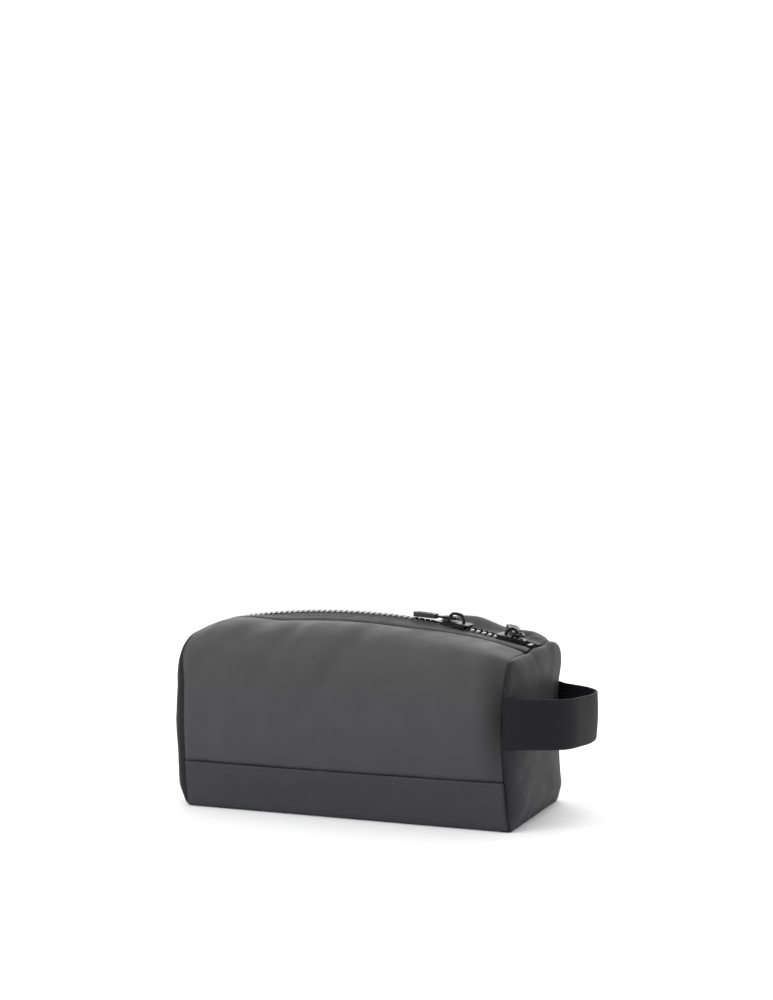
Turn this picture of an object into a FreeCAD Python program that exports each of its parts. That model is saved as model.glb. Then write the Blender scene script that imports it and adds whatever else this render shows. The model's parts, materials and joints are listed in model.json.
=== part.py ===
import FreeCAD, Part
import math
import os

# Soft shaving kit bag with an arched two-slider zip and a webbing side handle.
# Frame: millimetres, +Z up, +X along the zip, origin at the centre of the flat base. The front faces -Y.
# The zip chain lies on a circular arc about a Y axis far below the bag, so the sliders follow it exactly.

V = FreeCAD.Vector
X_AXIS, Y_AXIS, Z_AXIS = V(1, 0, 0), V(0, 1, 0), V(0, 0, 1)

# ---- bag body -------------------------------------------------------------------------------
HALF_LENGTH = 119.0          # body centre to end seam
HALF_DEPTH = 60.0            # body centre to front seam
BAND_HEIGHT = 32.0           # base panel turns this far up the front and back
BASE_CORNER = 7.0
SHELL = 1.2                  # coated outer fabric
FRONT_BULGE = 3.0            # outward swell of the front and back at mid length
LEFT_BULGE, RIGHT_BULGE = 10.0, 5.0
SHOULDER_DROP_LEFT, SHOULDER_DROP_RIGHT = 18.0, 8.0    # height of the rounded shoulder at the ends
SHOULDER_DROP_MID = 32.0                               # and at mid length
SHOULDER_POWER_LEFT, SHOULDER_POWER_RIGHT = 0.75, 0.6  # below 1 squares the shoulder's ellipse
SHOULDER_POWER_MID = 1.0
BACK_RISE = 6.0              # the back is packed out above the zip towards its right end
BACK_RISE_FROM, BACK_RISE_TO = 35.0, 70.0              # where along X the rise starts and is complete
BACK_RISE_RAMP = 13.0        # and how far behind the facing it takes to climb
LINING_INSET = 1.7
LINING = 0.4
FLOOR_GAP = 0.3
LINING_LIFT = 0.1            # height of the floor lining over the stiffener
END_LINING_GAP = 0.9
STIFFENER = 1.5
BINDING_WIDTH = 8.0
BINDING = 1.6

# ---- zip arc --------------------------------------------------------------------------------
ARC_RADIUS = 520.0           # tape middle surface
ARC_X = -25.0
CREST_Z = 135.0
ARC_CENTRE = V(ARC_X, 0, CREST_Z - ARC_RADIUS)
PITCH = 4.3
TAPE = 0.8
TAPE_INNER = 1.75            # tape edge from the centre line, where the rows are closed
TAPE_FLAT = 8.4              # the tapes are level out to here, then fall away as a ridge
TAPE_OUTER = 16.0
FACING_INNER = 10.6
FACING_OUTER = 18.0
RIDGE_SLOPE = 0.65
ROW_OPEN = 3.6               # how far each row stands aside between the sliders

# ---- teeth ----------------------------------------------------------------------------------
TOOTH_ROOT = 4.6
TOOTH_HALF = 1.3
HEAD_HALF = 0.6
HEAD_REACH = 1.25
TOOTH_HALF_HEIGHT = 2.2
STOP_LENGTH = 2.2

# ---- sliders and pulls ----------------------------------------------------------------------
SLIDER_HALF = 10.0
SLIDER_A_X = 64.5
SLIDER_B_X = 104.5
PLATE_LOW, PLATE_TOP = 2.55, 3.85
TAIL_INNER, NOSE_INNER = 5.0, 8.8
FLANGE = 1.1
TAPE_SLOT = 0.75             # half height of the way for the tapes between the flanges
CROWN_HALF, CROWN_LEG, CROWN_WIDTH = 4.4, 1.6, 2.2
CROWN_FLARE = 0.6
CROWN_WINDOW, CROWN_STRUT = 4.0, 1.6
PIVOT_UP = 2.3
PULL_THICK = 2.0
EYE_BAR = 0.9                # radius of the eye's round near bar
EYE_LENGTH, EYE_WIDTH, EYE_RAIL = 7.75, 5.5, 1.5
NECK_LENGTH, NECK_WIDTH, NECK_THICK = 4.0, 4.6, 1.4
NECK_TENON = 3.0             # length of the neck inside the grip
GRIP_LENGTH, GRIP_WIDTH, GRIP_THICK = 17.5, 8.6, 3.2
PULL_A_X = -1.2              # pull A's bar lies in the crown's window and points to the left
PULL_A_DROOP = 5.0
PULL_B_X = CROWN_HALF - CROWN_LEG / 2 + 0.1   # pull B's eye is round the crown's right leg
PULL_B_SHIFT = EYE_WIDTH / 2 + EYE_BAR
PULL_B_TURN = 118.0          # and points to the back, this far round from +X

# ---- handle ---------------------------------------------------------------------------------
STRAP_WIDTH, STRAP_THICK, STRAP_LOW = 32.0, 1.6, 53.5
STRAP_ROUTE = [(121.4, -57.6), (131, -56), (143, -52.4), (152.5, -46.2), (158.5, -36), (161.2, -21.5),
               (162.8, -6), (162.4, 7.5), (159.6, 18), (152.5, 27), (142, 34.5), (131.8, 43.2), (125.5, 51),
               (121.9, 57.6)]


# ---- shape helpers --------------------------------------------------------------------------
def save(name, *shapes):
    """Writes one node, as one solid or a group of separate solids."""
    solids = [s for shape in shapes for s in shape.Solids]
    shape = solids[0] if len(solids) == 1 else Part.makeCompound(solids)
    bad = [s for s in solids if not s.isValid() or s.Volume <= 0]
    print(f"{name:24s} solids {len(solids):3d}  volume {shape.Volume:10.1f}  bad {len(bad)}")
    shape.exportStep(f"parts/{name}.step")


def spline(points):
    curve = Part.BSplineCurve()
    curve.interpolate(points)
    return curve.toShape()


def line(a, b):
    return Part.makeLine(a, b)


def block(x0, x1, y0, y1, z0, z1):
    return Part.makeBox(x1 - x0, y1 - y0, z1 - z0, V(x0, y0, z0))


def prism(points, height):
    """Extrudes a closed polygon of vectors along a vector."""
    return Part.Face(Part.makePolygon(points + points[:1])).extrude(height)


def mirrored(shape):
    """The front-to-back mirror image."""
    return shape.mirror(V(0, 0, 0), Y_AXIS)


# ---- zip arc --------------------------------------------------------------------------------
def arc_length_at(x):
    return ARC_RADIUS * math.asin((x - ARC_X) / ARC_RADIUS)


def arc_z(x):
    return ARC_CENTRE.z + math.sqrt(ARC_RADIUS ** 2 - (x - ARC_X) ** 2)


S_LEFT, S_RIGHT = arc_length_at(-HALF_LENGTH), arc_length_at(HALF_LENGTH)
S_A, S_B = arc_length_at(SLIDER_A_X), arc_length_at(SLIDER_B_X)


def on_arc(shape, s, y=0.0, yaw=0.0):
    """Carries a shape from the crest frame (origin on the tape, X along the chain) to arc length s."""
    placed = shape.copy()
    placed.rotate(V(0, 0, 0), Z_AXIS, yaw)
    placed.translate(V(ARC_X, y, CREST_Z))
    placed.rotate(ARC_CENTRE, Y_AXIS, math.degrees(s / ARC_RADIUS))
    return placed


def ridge_drop(y):
    """How far the tapes and facings fall below the chain's level, at y from the chain."""
    return RIDGE_SLOPE * max(0.0, abs(y) - TAPE_FLAT)


def ribbon(stations, low, high):
    """A front strip along the whole arc: stations across it, low to high above the ridge."""
    under = [V(ARC_X, y, CREST_Z + low - ridge_drop(y)) for y in stations]
    over = [V(ARC_X, y, CREST_Z + high - ridge_drop(y)) for y in reversed(stations)]
    face = Part.Face(Part.makePolygon(under + over + under[:1]))
    face.rotate(ARC_CENTRE, Y_AXIS, math.degrees(S_LEFT / ARC_RADIUS))
    return face.revolve(ARC_CENTRE, Y_AXIS, math.degrees((S_RIGHT - S_LEFT) / ARC_RADIUS))


def smooth(t):
    t = min(1.0, max(0.0, t))
    return t * t * (3 - 2 * t)


def row_offset(s):
    """How far each row of teeth stands aside at arc length s: only between the two sliders."""
    ramp = SLIDER_HALF + 1
    return ROW_OPEN * min(smooth((s - S_A + 1) / ramp), smooth((S_B + 1 - s) / ramp))


def row_yaw(s):
    return math.degrees(math.atan(row_offset(s + 0.5) - row_offset(s - 0.5)))


# ---- body sections --------------------------------------------------------------------------
def length_share(x):
    """1 at mid length, 0 at the end seams."""
    return 1 - (x / HALF_LENGTH) ** 2


def between(left, right, middle, x):
    """A value that runs from the left end's to the right end's, and leans to its own at mid length."""
    end = left + (right - left) * (x + HALF_LENGTH) / (2 * HALF_LENGTH)
    return end + (middle - end) * length_share(x)


def wall_points(x, inset, low, bulge, at_back=False):
    """The front wall and shoulder at one station, from its lowest point up to the facing.
    The back is the mirror image of this, with its own rise."""
    share = length_share(x)
    drop = between(SHOULDER_DROP_LEFT, SHOULDER_DROP_RIGHT, SHOULDER_DROP_MID, x)
    power = between(SHOULDER_POWER_LEFT, SHOULDER_POWER_RIGHT, SHOULDER_POWER_MID, x)
    rise = BACK_RISE * smooth((x - BACK_RISE_FROM) / (BACK_RISE_TO - BACK_RISE_FROM)) if at_back else 0.0
    edge = FACING_OUTER + 0.3
    top = arc_z(x) + TAPE / 2 + SHELL - ridge_drop(edge) - inset
    shoulder = top - drop
    depth = HALF_DEPTH - inset
    points = []
    for t in (0, 0.25, 0.5, 0.75):
        points.append(V(x, -depth - bulge * share * math.sin(math.pi * t), low + (shoulder - low) * t))
    for angle in (0, 22.5, 45, 67.5, 90):
        across = math.cos(math.radians(angle)) ** power if angle < 90 else 0.0
        up = math.sin(math.radians(angle)) ** power
        out = (depth - edge) * across
        points.append(V(x, -edge - out, shoulder + drop * up + rise * smooth(out / BACK_RISE_RAMP)))
    return points


STATIONS = (-HALF_LENGTH, -75.0, ARC_X, 20.0, 70.0, HALF_LENGTH)


def wall(inset, thickness, low, bulge, stations=STATIONS, at_back=False):
    """A curved sheet for the front or back: the space between two insets, lofted along X."""
    wires = []
    for x in stations:
        outer = wall_points(x, inset, low, bulge, at_back)
        inner = wall_points(x, inset + thickness, low, bulge, at_back)
        wires.append(Part.Wire([spline(outer), line(outer[-1], inner[-1]),
                                spline(inner[::-1]), line(inner[0], outer[0])]))
    sheet = Part.makeLoft(wires, True, False)
    return mirrored(sheet) if at_back else sheet


def end_outline(x, inset, low):
    """The closed outline of the body at an end, as a face."""
    front = wall_points(x, inset, low, 0.0)
    back = [V(p.x, -p.y, p.z) for p in wall_points(x, inset, low, 0.0, True)]
    ridge = front[-1].z + ridge_drop(front[-1].y)
    top = [front[-1], V(x, -TAPE_FLAT, ridge), V(x, TAPE_FLAT, ridge), back[-1]]
    edges = [spline(front)] + [line(a, b) for a, b in zip(top, top[1:])]
    edges += [spline(back[::-1]), line(back[0], front[0])]
    return Part.Face(Part.Wire(edges))


def base_section(inset, x):
    """The U section's face down to the floor, with rounded bottom corners."""
    d, r = HALF_DEPTH - inset, BASE_CORNER - inset
    k = r * (1 - math.sqrt(0.5))
    left = Part.Arc(V(x, -d, inset + r), V(x, -d + k, inset + k), V(x, -d + r, inset)).toShape()
    right = Part.Arc(V(x, d - r, inset), V(x, d - k, inset + k), V(x, d, inset + r)).toShape()
    edges = [line(V(x, -d, BAND_HEIGHT), V(x, -d, inset + r)), left,
             line(V(x, -d + r, inset), V(x, d - r, inset)), right,
             line(V(x, d, inset + r), V(x, d, BAND_HEIGHT)), line(V(x, d, BAND_HEIGHT), V(x, -d, BAND_HEIGHT))]
    return Part.Face(Part.Wire(edges))


# ---- fabric body ----------------------------------------------------------------------------
def base_panel():
    outer = base_section(0, -HALF_LENGTH).extrude(X_AXIS * 2 * HALF_LENGTH)
    return outer.cut(base_section(SHELL, -HALF_LENGTH).extrude(X_AXIS * 2 * HALF_LENGTH))


def end_sheet(side):
    """A pillowed sheet that swells outwards, lofted up Z, larger than the end it covers."""
    top = arc_z(side * HALF_LENGTH) + 4
    bulge = RIGHT_BULGE if side > 0 else LEFT_BULGE
    levels = 8
    wires = []
    for i in range(levels):
        t = i / (levels - 1)
        swell = bulge * max(0.0, math.sin(math.pi * t)) ** 0.6
        rows = []
        for skin in (0, SHELL):
            rows.append([V(side * (HALF_LENGTH + skin + swell * (1 - y ** 4)), y * HALF_DEPTH, top * t)
                         for y in (-1, -0.87, -0.5, 0, 0.5, 0.87, 1)])
        wires.append(Part.Wire([spline(rows[0]), line(rows[0][-1], rows[1][-1]),
                                spline(rows[1][::-1]), line(rows[1][0], rows[0][0])]))
    return Part.makeLoft(wires, True, False)


def end_panel(side):
    x = side * HALF_LENGTH
    reach = X_AXIS * side * (LEFT_BULGE + 2 * SHELL)
    upper = end_outline(x, 0, BAND_HEIGHT).extrude(reach)
    lower = base_section(0, x).extrude(reach)
    return end_sheet(side).common(upper.fuse(lower))


LINING_FLOOR_Z = SHELL + FLOOR_GAP + STIFFENER + LINING_LIFT


def zip_room(side):
    """Space round the end of the zip that linings and bindings leave free."""
    x = side * HALF_LENGTH
    return block(x - 8, x + 8, -FACING_OUTER, FACING_OUTER, arc_z(x) - 6, arc_z(x) + 6)


def end_lining(side):
    x = side * (HALF_LENGTH - END_LINING_GAP)
    outline = end_outline(x, LINING_INSET + LINING + 0.2, LINING_FLOOR_Z + LINING + 0.1)
    return outline.extrude(X_AXIS * -side * LINING).cut(zip_room(side))


def end_binding(side):
    """The bound seam allowance that stands inwards round each end seam."""
    x = side * (HALF_LENGTH - END_LINING_GAP - LINING - 0.2)
    low = LINING_FLOOR_Z + LINING + 0.2
    ring = end_outline(x, LINING_INSET + LINING + 0.3, low).extrude(X_AXIS * -side * BINDING)
    half = HALF_DEPTH - LINING_INSET - BINDING_WIDTH
    hole = block(x - 5, x + 5, -half, half, low + BINDING_WIDTH, arc_z(x) - BINDING_WIDTH - 5)
    return ring.cut(hole).cut(zip_room(side))


def lining_floor():
    x, y = HALF_LENGTH - END_LINING_GAP, HALF_DEPTH - BASE_CORNER + 3
    return block(-x, x, -y, y, LINING_FLOOR_Z, LINING_FLOOR_Z + LINING)


def stiffener():
    x, y = HALF_LENGTH - 2, HALF_DEPTH - BASE_CORNER - 1
    return block(-x, x, -y, y, SHELL + FLOOR_GAP, SHELL + FLOOR_GAP + STIFFENER)


def handle():
    """The webbing loop, a band of constant width on a hand-set route."""
    route = [V(x, y, STRAP_LOW) for x, y in STRAP_ROUTE]
    curve = Part.BSplineCurve()
    curve.interpolate(route)
    samples = 28
    outer, inner = [], []
    for i in range(samples + 1):
        u = curve.FirstParameter + (curve.LastParameter - curve.FirstParameter) * i / samples
        tangent = curve.tangent(u)[0]
        side = V(tangent.y, -tangent.x, 0).multiply(STRAP_THICK / 2)
        outer.append(curve.value(u) + side)
        inner.append(curve.value(u) - side)
    edges = [spline(outer), line(outer[-1], inner[-1]), spline(inner[::-1]), line(inner[0], outer[0])]
    return Part.Face(Part.Wire(edges)).extrude(Z_AXIS * STRAP_WIDTH)


# ---- zip ------------------------------------------------------------------------------------
def mouth_cutter():
    """The lens-shaped gap between the tape edges where the two rows stand open."""
    steps = 16
    start, end = S_A + 0.5, S_B - 0.5
    edge = [V(ARC_X + ARC_RADIUS * math.sin(s / ARC_RADIUS), -TAPE_INNER - row_offset(s), CREST_Z - 40)
            for s in (start + (end - start) * i / steps for i in range(steps + 1))]
    first, last = edge[0] + V(-1.5, 1, 0), edge[-1] + V(1.5, 1, 0)
    edge = [first] + edge + [last]
    face = Part.Face(Part.Wire([spline(edge), line(last, first)]))
    return face.extrude(Z_AXIS * 60)


def tape():
    stations = (-TAPE_OUTER, -TAPE_FLAT, -TAPE_INNER)
    return ribbon(stations, -TAPE / 2, TAPE / 2).cut(mouth_cutter())


def tooth():
    """One front-row tooth in the crest frame: jaws on the tape and a narrower head past the middle."""
    h = TOOTH_HALF_HEIGHT
    outline = [(-TOOTH_HALF, -TOOTH_ROOT), (TOOTH_HALF, -TOOTH_ROOT), (TOOTH_HALF, -1.4), (HEAD_HALF, -0.8),
               (HEAD_HALF, HEAD_REACH), (-HEAD_HALF, HEAD_REACH), (-HEAD_HALF, -0.8), (-TOOTH_HALF, -1.4)]
    body = prism([V(x, y, -h) for x, y in outline], Z_AXIS * 2 * h)
    slot = block(-2, 2, -TOOTH_ROOT - 1, -TAPE_INNER + 0.2, -TAPE / 2 - 0.05, TAPE / 2 + 0.05)
    return body.cut(slot)


def teeth(shift):
    """A whole row; the back row is the mirror of one that is shifted by half a pitch."""
    first = S_LEFT + STOP_LENGTH + 2.2
    count = int((S_RIGHT - STOP_LENGTH - 2.2 - first - shift) / PITCH) + 1
    one = tooth()
    row = []
    for i in range(count):
        s = first + shift + i * PITCH
        row.append(on_arc(one, s, -row_offset(s), -row_yaw(s)))
    return row


def end_stop(at_right):
    """The moulded stop that closes the chain at one end, slotted for the tapes."""
    s = S_RIGHT - STOP_LENGTH / 2 - 0.3 if at_right else S_LEFT + STOP_LENGTH / 2 + 0.3
    h = TOOTH_HALF_HEIGHT + 0.2
    w = TOOTH_ROOT + 0.3
    stop = block(-STOP_LENGTH / 2, STOP_LENGTH / 2, -w, w, -h, h)
    for side in (-1, 1):
        y0, y1 = sorted((side * (TAPE_INNER - 0.2), side * (w + 1)))
        stop = stop.cut(block(-5, 5, y0, y1, -TAPE / 2 - 0.05, TAPE / 2 + 0.05))
    return on_arc(stop, s)


def slider_plan():
    """The slider's outline in plan, nose towards +X."""
    n, t = NOSE_INNER + FLANGE, TAIL_INNER + FLANGE
    h = SLIDER_HALF
    return [(-h, -t + 1), (-h + 1.5, -t), (-2.5, -t), (h - 2.5, -n), (h, -n + 2), (h, n - 2), (h - 2.5, n),
            (-2.5, t), (-h + 1.5, t), (-h, t - 1)]


def slider_channel():
    """The Y-shaped way for the teeth, between the flanges."""
    n, t, h = NOSE_INNER, TAIL_INNER, SLIDER_HALF + 1
    plan = [(-h, -t), (-2.5, -t), (h, -n - 0.3), (h, n + 0.3), (-2.5, t), (-h, t)]
    return prism([V(x, y, -PLATE_LOW) for x, y in plan], Z_AXIS * 2 * PLATE_LOW)


def crown():
    """The bridge over the top plate that holds the pull, with rounded shoulders and a through window."""
    z0 = PLATE_TOP - 0.2
    top = PLATE_TOP + CROWN_WINDOW + CROWN_STRUT
    c = CROWN_HALF
    profile = [(-c - CROWN_FLARE, z0), (-c, top - 2.4), (-c + 1.0, top - 0.6), (-c + 2.4, top), (c - 2.4, top),
               (c - 1.0, top - 0.6), (c, top - 2.4), (c + CROWN_FLARE, z0)]
    arch = prism([V(x, -CROWN_WIDTH / 2, z) for x, z in profile], Y_AXIS * CROWN_WIDTH)
    w = c - CROWN_LEG
    z1 = PLATE_TOP + CROWN_WINDOW
    hole = [(-w, PLATE_TOP), (w, PLATE_TOP), (w, z1 - 0.6), (w - 0.6, z1), (-w + 0.6, z1), (-w, z1 - 0.6)]
    return arch.cut(prism([V(x, -CROWN_WIDTH, z) for x, z in hole], Y_AXIS * 2 * CROWN_WIDTH))


def tape_way():
    """The gap between the flanges that the tapes pass through, falling away like the tapes."""
    far = 2 * TAPE_FLAT
    low = [(-far, -TAPE_SLOT - ridge_drop(far)), (-TAPE_FLAT, -TAPE_SLOT),
           (TAPE_FLAT, -TAPE_SLOT), (far, -TAPE_SLOT - ridge_drop(far))]
    section = low + [(far, TAPE_SLOT), (-far, TAPE_SLOT)]
    return prism([V(-2 * SLIDER_HALF, y, z) for y, z in section], X_AXIS * 4 * SLIDER_HALF)


def slider_body():
    """Top and bottom plates, flanges with a slot for the tapes, the divider in the nose, and the crown."""
    body = prism([V(x, y, -PLATE_TOP) for x, y in slider_plan()], Z_AXIS * 2 * PLATE_TOP)
    body = body.cut(slider_channel()).cut(tape_way())
    divider = [(4.8, 0), (SLIDER_HALF - 1, -1.35), (SLIDER_HALF, -0.9), (SLIDER_HALF, 0.9), (SLIDER_HALF - 1, 1.35)]
    post = prism([V(x, y, -PLATE_LOW) for x, y in divider], Z_AXIS * 2 * PLATE_LOW)
    return body.fuse(post).fuse(crown()).removeSplitter()


def rounded_rectangle(x0, x1, half, r, z):
    """A closed wire with four arc corners."""
    k = r * (1 - math.sqrt(0.5))
    p = [V(x0 + r, -half, z), V(x1 - r, -half, z), V(x1, -half + r, z), V(x1, half - r, z),
         V(x1 - r, half, z), V(x0 + r, half, z), V(x0, half - r, z), V(x0, -half + r, z)]
    mid = [V(x1 - k, -half + k, z), V(x1 - k, half - k, z), V(x0 + k, half - k, z), V(x0 + k, -half + k, z)]
    return Part.Wire([line(p[0], p[1]), Part.Arc(p[1], mid[0], p[2]).toShape(), line(p[2], p[3]),
                      Part.Arc(p[3], mid[1], p[4]).toShape(), line(p[4], p[5]),
                      Part.Arc(p[5], mid[2], p[6]).toShape(), line(p[6], p[7]),
                      Part.Arc(p[7], mid[3], p[0]).toShape()])


def plate(x0, x1, half, r, thick):
    return Part.Face(rounded_rectangle(x0, x1, half, r, -thick / 2)).extrude(Z_AXIS * thick)


EYE_END = EYE_BAR + EYE_LENGTH      # inner edge of the eye's far end, from the middle of the near bar
GRIP_START = EYE_END + EYE_RAIL + NECK_LENGTH


def pull_link():
    """The cast eye and neck. Pull frame: the near bar's middle is the origin and the pull lies along +X."""
    half = EYE_WIDTH / 2
    outer = plate(-EYE_BAR, EYE_END + EYE_RAIL, half + EYE_RAIL, 2.6, PULL_THICK)
    hole = plate(EYE_BAR, EYE_END, half, 1.4, PULL_THICK * 2)
    square_bar = block(-2 * EYE_BAR, EYE_BAR, -half, half, -PULL_THICK, PULL_THICK)
    bar = Part.makeCylinder(EYE_BAR, EYE_WIDTH + 0.4, V(0, -half - 0.2, 0), Y_AXIS)
    neck = block(EYE_END + EYE_RAIL - 0.5, GRIP_START + NECK_TENON, -NECK_WIDTH / 2, NECK_WIDTH / 2,
                 -NECK_THICK / 2, NECK_THICK / 2)
    return outer.cut(hole).cut(square_bar).fuse(bar).fuse(neck).removeSplitter()


def pull_grip():
    """The moulded grip over the neck's end, with a dished face each side."""
    x0, x1 = GRIP_START, GRIP_START + GRIP_LENGTH
    grip = plate(x0, x1, GRIP_WIDTH / 2, 2.8, GRIP_THICK)
    dish_depth = 0.4
    for up in (-1, 1):
        dish = plate(x0 + 3.6, x1 - 2.2, GRIP_WIDTH / 2 - 1.6, 1.6, 2 * dish_depth)
        dish.translate(V(0, 0, up * GRIP_THICK / 2))
        grip = grip.cut(dish)
    socket = block(x0 - 1, x0 + NECK_TENON, -NECK_WIDTH / 2, NECK_WIDTH / 2, -NECK_THICK / 2, NECK_THICK / 2)
    return grip.cut(socket)


def place_pull_a(shape):
    """Pull A lies along the chain to the left of its crown."""
    moved = shape.copy()
    moved.rotate(V(0, 0, 0), Y_AXIS, PULL_A_DROOP)
    moved.rotate(V(0, 0, 0), Z_AXIS, 180)
    moved.translate(V(PULL_A_X, 0, PLATE_TOP + PIVOT_UP))
    return on_arc(moved, S_A)


def place_pull_b(shape):
    """Pull B's eye is turned round the crown's right leg and the pull lies flat over the back."""
    moved = shape.copy()
    moved.translate(V(-PULL_B_SHIFT, 0, 0))
    moved.rotate(V(0, 0, 0), Z_AXIS, PULL_B_TURN)
    moved.translate(V(PULL_B_X, 0, PLATE_TOP + PIVOT_UP))
    return on_arc(moved, S_B)


def slider(at_right):
    """Slider A has its nose to the right, and slider B is turned to face it."""
    moved = slider_body()
    if at_right:
        moved.rotate(V(0, 0, 0), Z_AXIS, 180)
    return on_arc(moved, S_B if at_right else S_A)


def print_axis(name, s, x, direction):
    """Prints one pivot and its axis in metres, from the slider's own frame."""
    start = V(x, 0, PLATE_TOP + PIVOT_UP)
    a, b = [v.Point for v in on_arc(line(start, start + direction), s).Vertexes]
    print(f"{name} pos_m {[round(c / 1000, 6) for c in a]} axis {[round(c, 5) for c in (b - a)]}")


def main():
    os.makedirs("parts", exist_ok=True)
    lining_half = HALF_LENGTH - END_LINING_GAP - LINING - 0.1
    lining_stations = [x * lining_half / HALF_LENGTH for x in STATIONS]
    facing = ribbon((-FACING_OUTER, -FACING_INNER), TAPE / 2 + 0.05, TAPE / 2 + SHELL)
    front_tape = tape()

    for at_back, label in ((False, "front"), (True, "back")):
        save(f"{label}_panel", wall(0, SHELL, BAND_HEIGHT, FRONT_BULGE, STATIONS, at_back))
        save(f"lining_{label}", wall(LINING_INSET, LINING, BASE_CORNER, 0.0, lining_stations, at_back))
    save("base_panel", base_panel())
    save("base_stiffener", stiffener())
    save("lining_floor", lining_floor())
    save("front_zip_facing", facing)
    save("back_zip_facing", mirrored(facing))
    save("front_zip_tape", front_tape)
    save("back_zip_tape", mirrored(front_tape))
    save("front_zip_teeth", *teeth(0))
    save("back_zip_teeth", *[mirrored(t) for t in teeth(PITCH / 2)])
    for side, label in ((-1, "left"), (1, "right")):
        save(f"end_panel_{label}", end_panel(side))
        save(f"lining_end_{label}", end_lining(side))
        save(f"seam_binding_{label}", end_binding(side))
        save(f"zip_stop_{label}", end_stop(side > 0))
    save("slider_body_a", slider(False))
    save("slider_body_b", slider(True))
    save("pull_link_a", place_pull_a(pull_link()))
    save("pull_grip_a", place_pull_a(pull_grip()))
    save("pull_link_b", place_pull_b(pull_link()))
    save("pull_grip_b", place_pull_b(pull_grip()))
    save("side_handle", handle())
    print_axis("pull_a", S_A, PULL_A_X, Y_AXIS)
    print_axis("pull_b", S_B, PULL_B_X, Z_AXIS)
    centre = [round(c / 1000, 6) for c in ARC_CENTRE]
    print(f"arc centre {centre} s {S_LEFT:.2f} {S_A:.2f} {S_B:.2f} {S_RIGHT:.2f}")


main()
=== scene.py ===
import json
import math

import bmesh
import bpy
import numpy as np
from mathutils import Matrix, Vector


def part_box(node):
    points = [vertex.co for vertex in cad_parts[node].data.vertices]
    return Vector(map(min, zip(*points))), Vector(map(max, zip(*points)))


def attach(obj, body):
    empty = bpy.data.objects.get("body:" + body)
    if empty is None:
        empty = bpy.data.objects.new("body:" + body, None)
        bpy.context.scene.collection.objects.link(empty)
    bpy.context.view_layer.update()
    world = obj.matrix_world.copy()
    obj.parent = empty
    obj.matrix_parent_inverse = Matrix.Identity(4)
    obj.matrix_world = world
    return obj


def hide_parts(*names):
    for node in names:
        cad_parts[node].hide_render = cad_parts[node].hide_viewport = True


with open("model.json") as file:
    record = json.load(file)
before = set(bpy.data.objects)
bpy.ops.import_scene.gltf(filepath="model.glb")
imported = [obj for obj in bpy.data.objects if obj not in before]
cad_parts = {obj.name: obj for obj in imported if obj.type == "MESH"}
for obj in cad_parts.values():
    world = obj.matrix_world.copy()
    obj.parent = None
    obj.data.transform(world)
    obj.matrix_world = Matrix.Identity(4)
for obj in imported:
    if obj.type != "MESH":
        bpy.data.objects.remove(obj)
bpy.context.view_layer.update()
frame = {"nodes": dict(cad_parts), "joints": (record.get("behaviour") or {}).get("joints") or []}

# A soft shaving kit bag of coated fabric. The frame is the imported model, in metres.
# Shapes below are worked out in millimetres, in the same frame, and scaled once when a mesh is made.
MM = 0.001


def node_mm(name):
    """A CAD node's lowest and highest corners, in millimetres."""
    low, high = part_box(name)
    return np.array(low) / MM, np.array(high) / MM


# ---- driving dimensions ----
FRONT, BACK = -1, 1                   # the sides, along Y
LEFT, RIGHT = -1, 1                   # the ends, along X
SIDE, END = {FRONT: "front", BACK: "back"}, {LEFT: "left", RIGHT: "right"}
HALF_LENGTH, HALF_DEPTH, BAND_TOP = node_mm("base_panel")[1]
SLIDER_TRAVEL = next(j for j in frame["joints"] if j["name"] == "slider_a_travel")
ARC_CENTRE = np.array(SLIDER_TRAVEL["pos_m"]) / MM
TAPE_THICK = 0.8
ARC_RADIUS = node_mm("front_zip_tape")[1][2] - TAPE_THICK / 2 - ARC_CENTRE[2]
ARC_X = ARC_CENTRE[0]

FABRIC = 1.1                          # thickness of the coated fabric
BASE_CORNER = 4.0                     # rounding between the base and the walls
BACK_RISE, BACK_RISE_RAMP = 10.0, 15.0  # the back's pocket of air, and how far it takes to rise
FACING_OUTER, FACING_INNER, FACING_THICK = 18.3, 10.2, 1.2
RIDGE_FLAT, RIDGE_FALL = 5.5, 5.6     # the zip's ridge: level to here, then this much lower
TAPE_INNER, TAPE_OUTER = 1.75, 15.0
WALL_SWELL = 4.0                      # how far the front and back swell out at mid length
TUCK = 3.0                            # how far a panel runs down behind the band
DRAWN_LEVEL = 74.0                    # where the panels are drawn in most beside the right seam
LEFT_SETTLE = 1.9                     # how far the zip's left end lies below the true arc
END_MIDDLE = np.array([0.0, 58.0])    # the point that the rings of an end close in on, as (y, z)
END_POINTS = 220                      # round an end's outline
END_BULGE = {LEFT: 11.8, RIGHT: 7.5}
PITCH = 4.3                           # of the zip teeth
STOP_LENGTH, FIRST_TOOTH = 2.2, 2.2   # an end stop, and from it to the first tooth
SLIDER_HALF, ROW_OPEN = 10.0, 3.6     # half a slider, and how far a row stands aside between the sliders
PLATE_LOW, PLATE_TOP = 2.55, 3.85     # a slider's upper plate, above the chain's middle
FACING_STITCH = 1.9                   # from a facing's inner edge to its stitches
BAND_STITCH = 4.6                     # from the band's folded edge to its stitches
FACING_THREAD = (3.2, 2.4, 0.26)      # the stitches' pitch, length and thread radius
BAND_THREAD = (3.4, 2.5, 0.28)
STRAP_THICK = 1.6
LINING_BACK = 3.0                     # the lining's distance inside the skin
LINING_THICK = 0.35

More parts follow.
